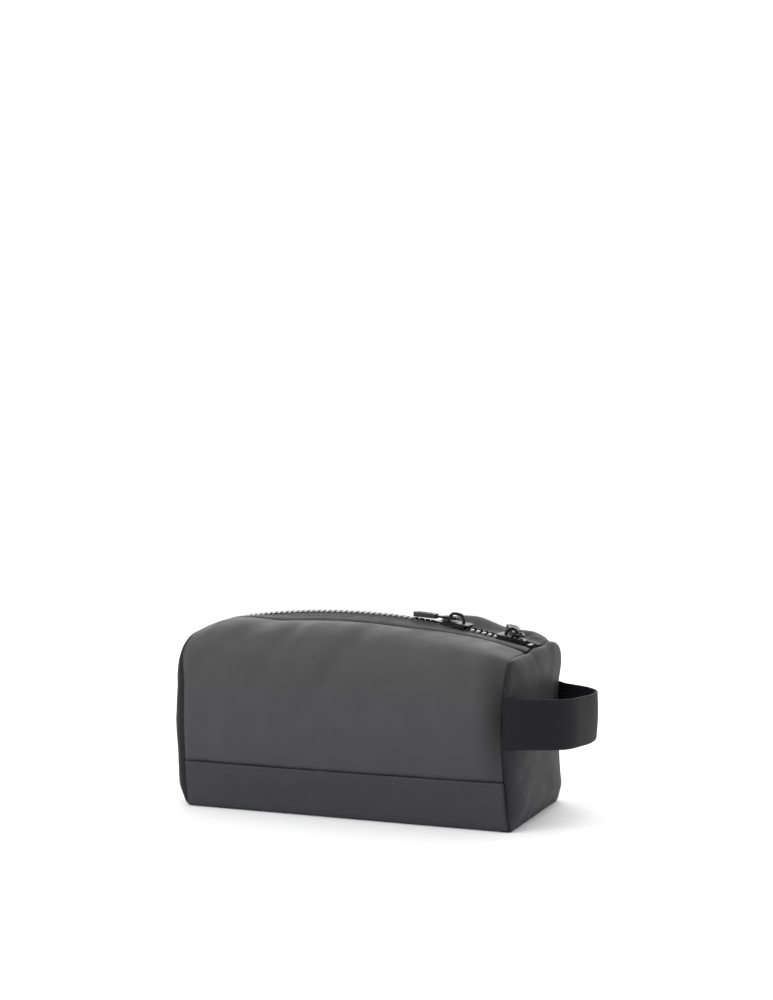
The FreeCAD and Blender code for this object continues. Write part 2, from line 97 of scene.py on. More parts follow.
# Each piece's own seed, so that its unevenness stays the same from run to run
SEED = {"front_panel": 11, "back_panel": 23, "front_band": 31, "back_band": 37, "end_panel_left": 47,
        "end_panel_right": 41, "front_zip_facing": 53, "back_zip_facing": 59, "front_zip_teeth": 4,
        "back_zip_teeth": 6, "side_handle": 61, "lining_front": 70, "lining_back": 72, "lining_floor": 83,
        "lining_end_left": 90, "lining_end_right": 92, "seam_binding_left": 96, "seam_binding_right": 98}

# ---- camera ----
CAMERA_PLACE = (0.407, -0.979, 0.213)
CAMERA_YAW, CAMERA_RISE = 22.0, 0.20
CAMERA_LENS = 53.2


def add_object(name, data):
    obj = bpy.data.objects.new(name, data)
    bpy.context.collection.objects.link(obj)
    return obj


def make_camera():
    data = bpy.data.cameras.new("camera")
    data.lens = CAMERA_LENS
    data.sensor_width = 36.0
    camera = add_object("camera", data)
    camera.location = CAMERA_PLACE
    camera.rotation_euler = (math.radians(90 + CAMERA_RISE), 0, math.radians(CAMERA_YAW))
    bpy.context.scene.camera = camera


make_camera()


# ---- material helpers ----
class Nodes:
    """A short way to build a node tree: each call adds a node and returns its first output."""

    def __init__(self, name, shade=0.0, blue=0.0):
        self.shade, self.blue = shade, blue
        self.material = bpy.data.materials.new(name)
        self.material.use_nodes = True
        self.tree = self.material.node_tree
        self.tree.nodes.clear()
        self.out = self.tree.nodes.new("ShaderNodeOutputMaterial")
        self.shader = self.tree.nodes.new("ShaderNodeBsdfPrincipled")
        self.tree.links.new(self.shader.outputs[0], self.out.inputs["Surface"])

    def feed(self, socket, value):
        """Links an output to a socket, or gives the socket a value of its own."""
        if isinstance(value, bpy.types.NodeSocket):
            self.tree.links.new(value, socket)
        else:
            socket.default_value = value

    def add(self, kind, inputs=(), **settings):
        node = self.tree.nodes.new(kind)
        for key, value in settings.items():
            setattr(node, key, value)
        for key, value in dict(inputs).items():
            self.feed(node.inputs[key], value)
        return node

    def coords(self, kind="Object"):
        return self.add("ShaderNodeTexCoord").outputs[kind]

    def noise(self, where, scale, detail=3.0, rough=0.5):
        inputs = {"Vector": where, "Scale": scale, "Detail": detail, "Roughness": rough}
        return self.add("ShaderNodeTexNoise", inputs).outputs["Fac"]

    def wave(self, where, pitch, axis, distortion=0.0):
        """Bands with a period of pitch metres along an axis."""
        inputs = {"Vector": where, "Scale": math.pi / (10 * pitch), "Distortion": distortion}
        return self.add("ShaderNodeTexWave", inputs, wave_type="BANDS", bands_direction=axis).outputs["Fac"]

    def crossed(self, where, pitch, distortion=0.0):
        """Two sets of bands that cross, as in a plain weave."""
        return self.maths("MULTIPLY", self.wave(where, pitch, "X", distortion),
                          self.wave(where, pitch, "Z", distortion))

    def maths(self, operation, a, b=0.0):
        return self.add("ShaderNodeMath", {0: a, 1: b}, operation=operation).outputs[0]

    def remap(self, value, low, high, to_low, to_high):
        inputs = {"Value": value, 1: low, 2: high, 3: to_low, 4: to_high}
        return self.add("ShaderNodeMapRange", inputs, clamp=True).outputs[0]

    def mix(self, factor, a, b):
        return self.add("ShaderNodeMix", {0: factor, 6: a, 7: b}, data_type="RGBA").outputs[2]

    def tint(self, share, more_blue=0.0):
        """A share of the material's shade."""
        return grey(self.shade * share, self.blue + more_blue)

    def over(self, under, factor, low, high, share, colour):
        """Lays a colour over another, up to a share, as the factor goes from low to high."""
        return self.mix(self.remap(factor, low, high, 0.0, share), under, colour)

    def bump(self, height, distance, strength=1.0, under=None):
        inputs = {"Height": height, "Distance": distance, "Strength": strength}
        if under is not None:
            inputs["Normal"] = under
        return self.add("ShaderNodeBump", inputs).outputs[0]

    def attribute(self, name):
        return self.add("ShaderNodeAttribute", attribute_name=name).outputs["Fac"]

    def set(self, **values):
        names = {"color": "Base Color", "roughness": "Roughness", "normal": "Normal", "coat": "Coat Weight",
                 "coat_roughness": "Coat Roughness", "specular": "Specular IOR Level",
                 "sheen": "Sheen Weight", "sheen_roughness": "Sheen Roughness"}
        for key, value in values.items():
            self.feed(self.shader.inputs[names[key]], value)
        return self.material


def grey(value, blue=0.0):
    return (value, value, value * (1 + blue), 1.0)


def coated_fabric(name, shade, blue, low_painted_shade=0.8, low_painted_shade_tone=0.82):
    """Matt coated weave: a fine grain over a faint weave, uneven tone, rubbed edges, painted shade in seams
    and corners, and painted shade that grows darker and a little bluer towards the bottom.
    """
    n = Nodes(name, shade, blue)
    where = n.coords()
    clouds = n.noise(where, 9.0, 2.0)
    mottling = n.noise(where, 60.0, 4.0, 0.6)
    grain = n.noise(where, 2200.0, 2.0)
    weave = n.crossed(where, 0.0009, 0.6)
    tone = n.over(n.tint(0.93), clouds, 0.3, 0.7, 1.0, n.tint(1.06))
    tone = n.over(tone, mottling, 0.35, 0.75, 0.35, n.tint(0.85))
    worn = n.maths("MULTIPLY", n.attribute("edge"), n.remap(mottling, 0.35, 0.65, 0.1, 0.6))
    tone = n.mix(worn, tone, n.tint(1.3))
    # Painted shade: darker and a little bluer towards the bottom
    height = n.add("ShaderNodeSeparateXYZ", {0: where}).outputs[2]
    tone = n.mix(n.remap(height, 0.04, 0.10, low_painted_shade, 0.0), tone, n.tint(low_painted_shade_tone, 0.12))
    # Painted shade in seams and corners, from the mesh's mark
    tone = n.mix(n.attribute("painted_shade"), tone, n.tint(0.2))
    rough = n.remap(n.maths("ADD", mottling, n.maths("MULTIPLY", grain, 0.4)), 0.5, 0.9, 0.58, 0.74)
    normal = n.bump(weave, 0.00006, 0.5)
    normal = n.bump(grain, 0.00005, 0.6, normal)
    normal = n.bump(mottling, 0.0004, 0.35, normal)
    return n.set(color=tone, roughness=rough, normal=normal, specular=0.24, sheen=0.03, sheen_roughness=0.5)


def woven_tape(name, shade, blue, pitch, across):
    """A ribbed woven tape, with its ribs a pitch apart."""
    n = Nodes(name, shade, blue)
    where = n.coords("UV")
    ribs = n.wave(where, pitch, across)
    picks = n.wave(where, pitch * 0.7, "Y" if across == "X" else "X", 0.4)
    fluff = n.noise(n.coords(), 1500.0, 3.0)
    tone = n.over(n.tint(0.45), ribs, 0.0, 1.0, 0.8, n.tint(1.25))
    tone = n.over(tone, fluff, 0.4, 0.8, 0.4, n.tint(1.6))
    normal = n.bump(ribs, 0.00016, 0.8)
    normal = n.bump(picks, 0.00008, 0.6, normal)
    normal = n.bump(fluff, 0.00005, 0.5, normal)
    rough = n.remap(fluff, 0.3, 0.7, 0.7, 0.9)
    return n.set(color=tone, roughness=rough, normal=normal, specular=0.3, sheen=0.15, sheen_roughness=0.4)


def webbing_weave(name, shade, blue):
    """Nylon webbing: rows of plump warp ends crossed by picks, offset from row to row like bricks."""
    row_width, pick_length = 0.0012, 0.0016
    n = Nodes(name, shade, blue)
    split = n.add("ShaderNodeSeparateXYZ", {0: n.coords("UV")})
    row = n.maths("MULTIPLY", split.outputs[1], 1 / row_width)
    shift = n.maths("MULTIPLY", n.maths("FLOOR", row), 0.5)
    along = n.maths("ADD", n.maths("MULTIPLY", split.outputs[0], 1 / pick_length), shift)
    bump_row, bump_pick = (n.maths("SINE", n.maths("MULTIPLY", n.maths("FRACT", part), math.pi))
                           for part in (row, along))
    cell = n.maths("MULTIPLY", n.maths("POWER", bump_row, 0.6), n.maths("POWER", bump_pick, 0.5))
    fibre = n.noise(n.coords(), 2600.0, 2.0)
    tone = n.over(n.tint(0.6), cell, 0.1, 0.9, 1.0, n.tint(1.1))
    tone = n.over(tone, fibre, 0.45, 0.8, 0.4, n.tint(1.5))
    normal = n.bump(cell, 0.00018, 0.8)
    normal = n.bump(fibre, 0.00006, 0.6, normal)
    rough = n.remap(fibre, 0.3, 0.7, 0.6, 0.75)
    return n.set(color=tone, roughness=rough, normal=normal, specular=0.14, sheen=0.02, sheen_roughness=0.35)


def black_enamel(name, shade):
    """Black enamel on cast zinc, with a dull gloss and faintly uneven."""
    n = Nodes(name, shade)
    where = n.coords()
    wobble = n.noise(where, 350.0, 3.0)
    specks = n.noise(where, 2500.0, 2.0)
    tone = n.over(n.tint(0.4), wobble, 0.35, 0.7, 1.0, n.tint(1.0))
    normal = n.bump(wobble, 0.00012, 0.35)
    return n.set(color=tone, roughness=n.remap(specks, 0.3, 0.7, 0.34, 0.46), normal=normal, specular=0.2)


def moulded(name, shade, rough_low, rough_high, coat=0.0):
    """Moulded plastic or rubber."""
    n = Nodes(name, shade)
    where = n.coords()
    flow = n.noise(where, 260.0, 3.0)
    pits = n.noise(where, 3200.0, 2.0)
    tone = n.over(n.tint(0.8), flow, 0.3, 0.7, 1.0, n.tint(1.3))
    rough = n.remap(flow, 0.3, 0.7, rough_low, rough_high)
    normal = n.bump(pits, 0.00003, 0.4)
    return n.set(color=tone, roughness=rough, normal=normal, coat=coat, coat_roughness=0.12)


def thread_yarn(name, shade, blue):
    n = Nodes(name, shade, blue)
    where = n.coords()
    twist = n.wave(where, 0.0005, "DIAGONAL")
    fibre = n.noise(where, 4000.0, 2.0)
    tone = n.mix(twist, n.tint(0.7), n.tint(1.3))
    rough = n.remap(fibre, 0.3, 0.7, 0.45, 0.7)
    return n.set(color=tone, roughness=rough, normal=n.bump(twist, 0.00008, 0.7), sheen=0.2)


def plain_weave(name, shade, blue):
    """Thin lining cloth."""
    n = Nodes(name, shade, blue)
    where = n.coords()
    weave = n.crossed(where, 0.0005)
    clouds = n.noise(where, 25.0, 3.0)
    tone = n.over(n.tint(0.85), clouds, 0.3, 0.7, 1.0, n.tint(1.15))
    rough = n.remap(clouds, 0.3, 0.7, 0.45, 0.6)
    return n.set(color=tone, roughness=rough, normal=n.bump(weave, 0.0001, 0.7), sheen=0.1)


BODY = coated_fabric("coated_fabric", 0.054, 0.02)
# The end panels: the same coated fabric painted darker as painted shade, with more painted shade towards the
# bottom
PAINTED_SHADE_END_FABRIC = coated_fabric("coated_fabric_end_painted_shade", 0.0295, 0.03, 1.0, 0.62)
BAND = coated_fabric("coated_fabric_base", 0.040, 0.08)
TAPE = woven_tape("zip_tape", 0.03, 0.0, 0.0008, "Y")
BINDING = woven_tape("binding", 0.02, 0.0, 0.001, "X")
WEBBING = webbing_weave("webbing", 0.0105, 0.16)
ENAMEL = black_enamel("slider_metal", 0.010)
TEETH = moulded("zip_teeth", 0.012, 0.14, 0.24, 0.1)
RUBBER = moulded("pull_rubber", 0.009, 0.42, 0.56)
BOARD = moulded("stiffener", 0.4, 0.5, 0.6)
THREAD = thread_yarn("thread", 0.026, 0.05)
LINING = plain_weave("lining", 0.03, 0.05)


def stand_in(piece, node, body="bag"):
    """A visible piece takes a CAD node's place and moves with its body."""
    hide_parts(node)
    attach(piece, body)


def as_cloth(piece, node):
    """A cloth piece stands in for a CAD node."""
    stand_in(piece, node)


# ---- mesh helpers ----
def unit(v):
    return v / np.maximum(np.linalg.norm(v, axis=-1, keepdims=True), 1e-9)


def smoothstep(t):
    t = np.clip(t, 0.0, 1.0)
    return t * t * (3 - 2 * t)


def bell(distance, width):
    return np.exp(-(distance / width) ** 2)


def run_along(points):
    """How far along a line each of its points is."""
    return np.concatenate([[0], np.cumsum(np.linalg.norm(np.diff(points, axis=0), axis=1))])


def points_at(at, run, points):
    """The points of a line at some distances along it."""
    return np.stack([np.interp(at, run, points[:, k]) for k in range(points.shape[1])], axis=1)


def spaced(low, high, step, fine_low=True, fine_high=True):
    """Stations from low to high, a step apart, closer together towards the fine ends."""
    near = np.array([0, 0.35, 0.8, 1.4, 2.1, 3.0, 4.2, 5.8, 8.0])
    start = low + near if fine_low else np.array([low])
    end = high - near[::-1] if fine_high else np.array([high])
    count = max(2, int(round((end[0] - start[-1]) / step)))
    middle = np.linspace(start[-1], end[0], count + 1)[1:-1]
    return np.concatenate([start, middle, end])


def grid_normals(points, flip=False):
    along = np.gradient(points, axis=0)
    across = np.gradient(points, axis=1)
    n = unit(np.cross(along, across))
    return -n if flip else n


def make_object(name, verts, faces, material, uv=None, edge=None, painted_shade=None, sharp=50.0):
    """A smooth-shaded mesh object, from millimetres."""
    mesh = bpy.data.meshes.new(name)
    mesh.from_pydata((np.asarray(verts) * MM).tolist(), [], [list(f) for f in faces])
    if uv is not None:
        layer = mesh.uv_layers.new(name="UVMap")
        loops = np.zeros(len(mesh.loops), dtype=np.int32)
        mesh.loops.foreach_get("vertex_index", loops)
        layer.data.foreach_set("uv", (np.asarray(uv)[loops] * MM).ravel())
    # The marks: rubbed wear at edges, and painted shade in seams and corners
    for title, values in (("edge", edge), ("painted_shade", painted_shade)):
        if values is not None:
            layer = mesh.attributes.new(title, "FLOAT", "POINT")
            layer.data.foreach_set("value", np.asarray(values, dtype=np.float32))
    mesh.polygons.foreach_set("use_smooth", np.ones(len(mesh.polygons), dtype=bool))
    mesh.set_sharp_from_angle(angle=math.radians(sharp))
    mesh.materials.append(material)
    mesh.validate()
    return add_object(name, mesh)


def quads(rows, cols, start=0, wrap=False):
    """Face indices of a grid; wrap closes it from the last row to the first."""
    r = np.arange(rows if wrap else rows - 1)
    c = np.arange(cols - 1)
    a = start + r[:, None] * cols + c[None, :]
    b = start + ((r[:, None] + 1) % rows) * cols + c[None, :]
    return np.stack([a, b, b + 1, a + 1], axis=-1).reshape(-1, 4)


def tube_faces(rows, cols, start=0):
    """Face indices of a capped tube: rows of rings, each of cols points."""
    faces = []
    for i in range(start, start + (rows - 1) * cols, cols):
        for j in range(cols):
            k = (j + 1) % cols
            faces.append((i + j, i + k, i + cols + k, i + cols + j))
    faces.append(tuple(range(start, start + cols))[::-1])
    faces.append(tuple(range(start + (rows - 1) * cols, start + rows * cols)))
    return faces


def face_outwards(obj, merge=False):
    """Turns all faces of an object outwards, after merging the points that coincide."""
    work = bmesh.new()
    work.from_mesh(obj.data)
    if merge:
        bmesh.ops.remove_doubles(work, verts=work.verts, dist=1e-6)
    bmesh.ops.recalc_face_normals(work, faces=work.faces)
    work.to_mesh(obj.data)
    work.free()


def read_out(work):
    """The points and faces of a mesh in the making, which ends with it."""
    points = np.array([v.co[:] for v in work.verts])
    faces = [[v.index for v in f.verts] for f in work.faces]
    work.free()
    return points, faces


def closed_sheet(name, outer, inner, loop, wrap, flip, uv, material, edge, painted_shade):
    """A sheet from its outer and inner grids of points, with a rim along a loop of the grid."""
    rows, cols = outer.shape[:2]
    total = rows * cols
    after = np.roll(loop, -1)
    rim = np.stack([after, loop, loop + total, after + total], axis=-1)
    faces = np.concatenate([quads(rows, cols, 0, wrap), quads(rows, cols, total, wrap)[:, ::-1], rim])
    verts = np.concatenate([outer.reshape(-1, 3), inner.reshape(-1, 3)])
    marks = [np.zeros(total) if values is None else np.asarray(values).ravel() for values in (edge, painted_shade)]
    return make_object(name, verts, faces[:, ::-1] if flip else faces, material, np.tile(uv, (2, 1)),
                       *(np.tile(values, 2) for values in marks))


def sheet_mesh(name, outer, thick, material, flip=False, edge=None, painted_shade=None):
    """A closed sheet: a grid of outer points, the same grid set back by the thickness, and a rim."""
    rows, cols = outer.shape[:2]
    inner = outer - grid_normals(outer, flip) * thick
    last = (rows - 1) * cols
    loop = np.concatenate([np.arange(cols), np.arange(1, rows) * cols + cols - 1,
                           last + np.arange(cols - 2, -1, -1), np.arange(rows - 2, 0, -1) * cols])
    run = np.cumsum(np.linalg.norm(np.diff(outer, axis=0, prepend=outer[:1]), axis=-1), axis=0)
    width = np.cumsum(np.linalg.norm(np.diff(outer, axis=1, prepend=outer[:, :1]), axis=-1), axis=1)
    uv = np.stack([run, width], axis=-1).reshape(-1, 2)
    return closed_sheet(name, outer, inner, loop, False, flip, uv, material, edge, painted_shade)


def smooth_path(points, steps):
    """A smooth curve through the points (Catmull-Rom), with steps samples per span."""
    p = np.asarray(points, dtype=float)
    p = np.concatenate([[2 * p[0] - p[1]], p, [2 * p[-1] - p[-2]]])
    out = []
    for a, b, c, d in zip(p, p[1:], p[2:], p[3:]):
        for t in np.arange(steps) / steps:
            out.append(0.5 * (2 * b + (c - a) * t + (2 * a - 5 * b + 4 * c - d) * t ** 2
                              + (3 * b - a - 3 * c + d) * t ** 3))
    out.append(p[-2])
    return np.array(out)


def ripple(x, s, seed, size, waves=7, short=26.0, long=90.0):
    """Gentle unevenness: a few seeded waves that cross at random angles."""
    dice = np.random.RandomState(seed)
    total = np.zeros(np.broadcast(x, s).shape)
    for _ in range(waves):
        length = dice.uniform(short, long)
        angle = dice.uniform(0, math.pi)
        phase = dice.uniform(0, 2 * math.pi)
        total = total + np.sin((x * math.cos(angle) + s * math.sin(angle)) * 2 * math.pi / length + phase)
    return total * size / math.sqrt(waves)


def gathers(run, seed, size, short, long, waves=6):
    """Unevenness along one direction only, as where a seam takes up cloth."""
    return ripple(run, run * 0, seed, size, waves, short, long)


def fold(x, z, place, angle, length, width, depth):
    """A soft drape: a valley with low banks, along a direction given in degrees from +X."""
    c, s = math.cos(math.radians(angle)), math.sin(math.radians(angle))
    dx, dz = x - place[0], z - place[1]
    along, across = (dx * c + dz * s) / length, (dz * c - dx * s) / width
    return -depth * (1 - 1.2 * across ** 2) * np.exp(-across ** 2 - along ** 2)


def rolled(distance, radius, depth):
    """How far an edge turns in, at a distance from the seam."""
    t = np.clip(1 - distance / radius, 0, 1)
    return depth * (1 - np.sqrt(1 - 0.999 * t ** 2))


# ---- the bag's outer form ----
def arc_z(x):
    return ARC_CENTRE[2] + np.sqrt(ARC_RADIUS ** 2 - (x - ARC_X) ** 2)


def arc_length(x):
    return ARC_RADIUS * np.arcsin((x - ARC_X) / ARC_RADIUS)


def length_share(x):
    """1 at mid length, 0 at the end seams."""
    return np.clip(1 - (x / HALF_LENGTH) ** 2, 0, 1)


def zip_z(x):
    """The zip's level: it settles a little below the true arc at its left end."""
    return arc_z(x) - LEFT_SETTLE * smoothstep((-95 - x) / 24)


def ridge_fall(x, y):
    """How far the tapes and facings have fallen from the chain's level. Negative y is the front.
    The ridge fades towards the ends, and at the back it is lower towards the right."""
    strength = smoothstep((x + 100) / 45) * (1 - 0.6 * smoothstep((x - 25) / 70))
    strength = strength * np.where(y > 0, 1 - 0.9 * smoothstep((x - 80) / 34), 1)
    corner = 2.0 * smoothstep((-104 - x) / 15)
    out = np.clip((np.abs(y) - RIDGE_FLAT) / (FACING_OUTER - RIDGE_FLAT), 0, 1)
    return (RIDGE_FALL * strength + corner) * out


def facing_z(x, y):
    return zip_z(x) + TAPE_THICK / 2 + FACING_THICK - ridge_fall(x, y)


def seam_shift(x, z):
    """The end seams pull in at mid height and stand out at the top."""
    right = 3.2 * ((z - 58) / 52) ** 2 - 1.7
    left = -2.2 * np.sin(np.clip(z / 100, 0, 1) * math.pi) ** 2 + 1.6 - 3.6 * smoothstep((z - 30) / 85)
    left = left - 0.8 * bell(z - 104, 8)
    side = smoothstep((np.abs(x) / HALF_LENGTH - 0.62) / 0.38)
    return np.where(x > 0, right, left) * side


def back_rise(x):
    """The back is packed out above the zip, most of all behind the sliders."""
    shape = smoothstep((x - 25) / 38) * (1 - 0.5 * smoothstep((x - 66) / 28))
    return float(BACK_RISE * shape * (1 - 0.6 * smoothstep((x - 104) / 16)))


# The shoulder, as how far it drops from the facing seam to the wall and the power of its curve
LEFT_SHOULDER = (22.0, 0.85)
RIGHT_SHOULDER = {FRONT: (7.0, 0.5), BACK: (15.0, 0.75)}
MIDDLE_DROP = 34.0
SECTION_POINTS, SMOOTHING = 420, 9


def section(x, side=FRONT):
    """Half of the bag's section at one station, from the middle of the base up to the facing seam. Both
    halves are given as a front, with negative y. Returns the curve's (y, z) points, and how far along it
    each one is from the top of the band."""
    share = float(length_share(x))
    along = float(smoothstep((x + HALF_LENGTH) / (2 * HALF_LENGTH)))
    (left_drop, left_power), (right_drop, right_power) = LEFT_SHOULDER, RIGHT_SHOULDER[side]
    end_drop = left_drop + (right_drop - left_drop) * along
    drop = end_drop + (MIDDLE_DROP - end_drop) * share ** 0.8
    power_end = left_power + (right_power - left_power) * along
    power = power_end + (1 - power_end) * share
    top = float(facing_z(x, side * FACING_OUTER))
    shoulder = top - drop
    swell = WALL_SWELL * share ** 0.6
    r = BASE_CORNER
    turn = np.radians(np.linspace(0, 90, 24))
    bottom = np.stack([np.linspace(0, -(HALF_DEPTH - r), 40), np.zeros(40)], axis=1)
    corner = np.stack([-(HALF_DEPTH - r) - r * np.sin(turn), r - r * np.cos(turn)], axis=1)
    z = np.linspace(r, shoulder, 90)
    belly = np.clip(np.sin(math.pi * (z - r) / (shoulder - r)), 0, 1) ** 1.2
    wall = np.stack([-HALF_DEPTH - swell * belly, z], axis=1)
    turn = np.radians(np.linspace(0, 90, 60))
    across = np.clip(np.cos(turn), 0, 1) ** power
    out = (HALF_DEPTH - FACING_OUTER) * across
    rise = back_rise(x) if side == BACK else 0.0
    up = shoulder + drop * np.sin(turn) ** power + rise * smoothstep(out / BACK_RISE_RAMP)
    over = np.stack([-FACING_OUTER - out, up], axis=1)
    points = np.concatenate([bottom, corner[1:], wall[1:], over[1:]])
    run = run_along(points)
    even = np.linspace(0, run[-1], SECTION_POINTS)
    curve = points_at(even, run, points)
    window = np.hanning(2 * SMOOTHING + 1)
    window /= window.sum()
    padded = np.concatenate([2 * curve[0] - curve[SMOOTHING:0:-1], curve,
                             2 * curve[-1] - curve[-2:-SMOOTHING - 2:-1]])
    smooth = np.stack([np.convolve(padded[:, k], window, "valid") for k in (0, 1)], axis=1)
    smooth[:, 1] = np.maximum(smooth[:, 1], 0)
    on_wall = (smooth[:, 0] < -HALF_DEPTH + r) & (smooth[:, 1] < 60)
    band = np.interp(BAND_TOP, smooth[on_wall, 1], even[on_wall])
    return smooth, even - band


def skin(xs, shares, low, high, side=FRONT):
    """A grid on the front of the bag, or on the back as if it were the front. low and high are distances
    above the band's top edge. A low of None is the middle of the base, and a high of None is the facing
    seam. shares run from 0 at low to 1 at high. Returns points and distances."""
    points = np.zeros((len(xs), len(shares), 3))
    reach = np.zeros((len(xs), len(shares)))
    for i, x in enumerate(xs):
        curve, q = section(x, side)
        end = q[-1] if high is None else high
        start = q[0] if low is None else low
        at = start + (end - start) * np.asarray(shares)
        points[i, :, 0] = x
        points[i, :, 1] = np.interp(at, q, curve[:, 0])
        points[i, :, 2] = np.interp(at, q, curve[:, 1])
        reach[i] = at
    points[..., 0] += seam_shift(points[..., 0], points[..., 2])
    return points, reach


# Folds as (x and z of the middle, direction, length, width, depth), for the front and the back
FRONT_FOLDS = (
    ((-50, 112), 62, 26, 8, 1.5),
    ((-84, 118), 35, 22, 7, 1.1),
    ((-104, 108), 70, 20, 7, 1.0),
    ((-4, 103), 57, 30, 10, 2.3),
    ((58, 104), 112, 34, 13, 1.3),
    ((96, 84), 98, 40, 12, 1.6),
    ((-20, 66), 8, 60, 16, 0.8),
    ((-100, 60), 86, 34, 11, 1.0),
)
BACK_FOLDS = (
    ((-70, 110), 70, 26, 9, 1.4),
    ((-10, 112), 100, 28, 12, 1.1),
    ((48, 108), 60, 26, 9, 1.5),
    ((92, 86), 84, 38, 12, 1.4),
    ((10, 62), -6, 64, 17, 0.9),
    ((-98, 72), 94, 36, 12, 1.2),
)
# The same for the right end, with y for x, and for a sag along the band, with the height for z
RIGHT_END_FOLDS = (((-10, 82), 4, 60, 14, 2.0), ((-30, 36), 80, 26, 16, 0.3))
BAND_SAG = ((-30, 14), 4, 70, 9, 0.6)
# Creases that fan out on the back from the right end of the zip, as (x and distance from the facing)
END_CREASES = (
    ((109, 9), 62, 9, 1.6, 0.7),
    ((104, 8), 74, 9, 1.5, 0.6),
    ((113, 13), 48, 11, 1.8, 0.7),
    ((99, 7), 84, 8, 1.6, 0.5),
    ((108, 22), 38, 12, 2.6, 0.6),
)


def panel_relief(x, z, reach, top_gap, side):
    """Folds, unevenness and seam puckers, in millimetres outwards."""
    relief = sum(fold(x, z, *f) for f in (FRONT_FOLDS if side == FRONT else BACK_FOLDS))
    relief = relief * smoothstep(top_gap / 12.0)
    if side == BACK:
        for crease in END_CREASES:
            relief = relief + fold(x, top_gap, *crease) * smoothstep(top_gap / 2)
    seed = SEED[f"{SIDE[side]}_panel"]
    relief = relief + ripple(x, reach, seed, 0.22)
    end_gap = HALF_LENGTH - np.abs(x)
    pucker = gathers(reach, seed + 1, 0.35, 9.0, 22.0, 5) * np.exp(-end_gap / 7)
    gather = gathers(x, seed + 2, 0.22, 8.0, 20.0) * (np.exp(-top_gap / 6) + 0.6 * np.exp(-reach / 5))
    quiet = smoothstep(end_gap / 2.0) * smoothstep(top_gap / 5.0)
    return (relief + pucker + gather) * quiet


def turned_edges(end_gap, top_gap, bottom_gap):
    """How far the panel's edges turn in to its seams."""
    return rolled(end_gap, 2.6, 2.3) + rolled(top_gap, 1.6, 0.9) + 0.9 * (1 - smoothstep(bottom_gap / 2.2))


def near_right(x, reach):
    """1 at the right end seam, falling to 0 over a reach."""
    return np.clip((x - HALF_LENGTH + reach) / reach, 0, 1)


def corner_tuck(x, z):
    """The panels are drawn in beside the right end seam, most of all at the handle's height."""
    return 3.8 * near_right(x, 22) ** 2.0 * bell(z - DRAWN_LEVEL, 36)


def seam_painted_shade(distance, width):
    """How dark the painted shade is in a seam, at a distance from it."""
    return 0.85 * bell(distance, width)


def rubbed_end(end_gap):
    """How rubbed a cloth is where it rolls over into an end seam."""
    return bell(end_gap - 3.2, 1.6)


def mirrored(points):
    return points * np.array([1, -1, 1])


def make_panel(side):
    """The front or back panel, from behind the band up to the facing."""
    xs = spaced(-HALF_LENGTH, HALF_LENGTH, 2.2)
    length = 150.0
    shares = spaced(0, length, 2.0) / length
    points, reach = skin(xs, shares, -TUCK, None, side)
    x, z = points[..., 0], points[..., 2]
    top_gap = reach[:, -1:] - reach
    end_gap = (HALF_LENGTH - np.abs(xs))[:, None]
    shown = np.maximum(reach, 0)
    relief = panel_relief(x, z, shown, top_gap, side)
    relief = relief - turned_edges(end_gap, top_gap, shown) - corner_tuck(x, z)
    points = points + grid_normals(points) * relief[..., None]
    edge = np.clip(rubbed_end(end_gap) + 0.6 * bell(top_gap - 2.2, 1.0), 0, 1)
    # Painted shade: beside the right end seam on the front, on the back near the zip's right end, and along
    # the end, facing and band seams
    if side == FRONT:
        corner = 0.95 * smoothstep(near_right(x, 30) * 1.1) ** 1.5 * bell(z - DRAWN_LEVEL, 38)
    else:
        corner = 0.6 * smoothstep((x - 84) / 20) * bell(top_gap, 34)
    painted_shade = np.maximum(corner, seam_painted_shade(end_gap, 1.5))
    painted_shade = np.maximum(painted_shade, np.maximum(seam_painted_shade(top_gap, 1.7), seam_painted_shade(shown, 1.3)))
    name = f"{SIDE[side]}_panel"
    if side == BACK:
        points = mirrored(points)
    panel = sheet_mesh(name + "_cloth", points, FABRIC, BODY, flip=side == BACK, edge=edge, painted_shade=painted_shade)
    as_cloth(panel, name)


def band_relief(x, reach, side):
    """The band stands a little proud of the panel above it."""
    on_wall = smoothstep((reach + 26) / 12)
    proud = 0.75 * on_wall
    seed = SEED[f"{SIDE[side]}_band"]
    gather = gathers(x, seed, 0.22, 9.0, 24.0) * np.exp(reach / 5.0)
    sag = fold(x, reach + BAND_TOP, *BAND_SAG)
    end_gap = HALF_LENGTH - np.abs(x)
    return (proud + (gather + sag + ripple(x, reach, seed + 1, 0.14)) * smoothstep(end_gap / 2) * on_wall)


def band_side(xs, side):
    """One side of the band: grid points from the middle of the base up to the folded edge."""
    length = 88.0
    shares = spaced(0, length, 2.2, fine_low=False) / length
    points, reach = skin(xs, shares, None, 0.0, side)
    end_gap = (HALF_LENGTH - np.abs(xs))[:, None]
    normals = grid_normals(points)
    normals[:, 0] = (0, 0, -1)
    turned = rolled(end_gap, 2.6, 2.3) * smoothstep(points[..., 2] / 3) + rolled(-reach, 1.0, 0.8)
    relief = band_relief(points[..., 0], reach, side) - turned
    points = points + normals * relief[..., None]
    points[..., 2] = np.maximum(points[..., 2], 0)
    edge = rubbed_end(end_gap) + 0.8 * bell(-reach - 0.9, 0.7)
    edge = edge + 0.6 * bell(points[..., 2] - 2.0, 2.5) * smoothstep((np.abs(points[..., 1]) - 45) / 8)
    # Painted shade beside the end seams
    painted_shade = seam_painted_shade(end_gap, 1.5) + 0 * edge
    return (mirrored(points) if side == BACK else points), np.clip(edge, 0, 1), painted_shade


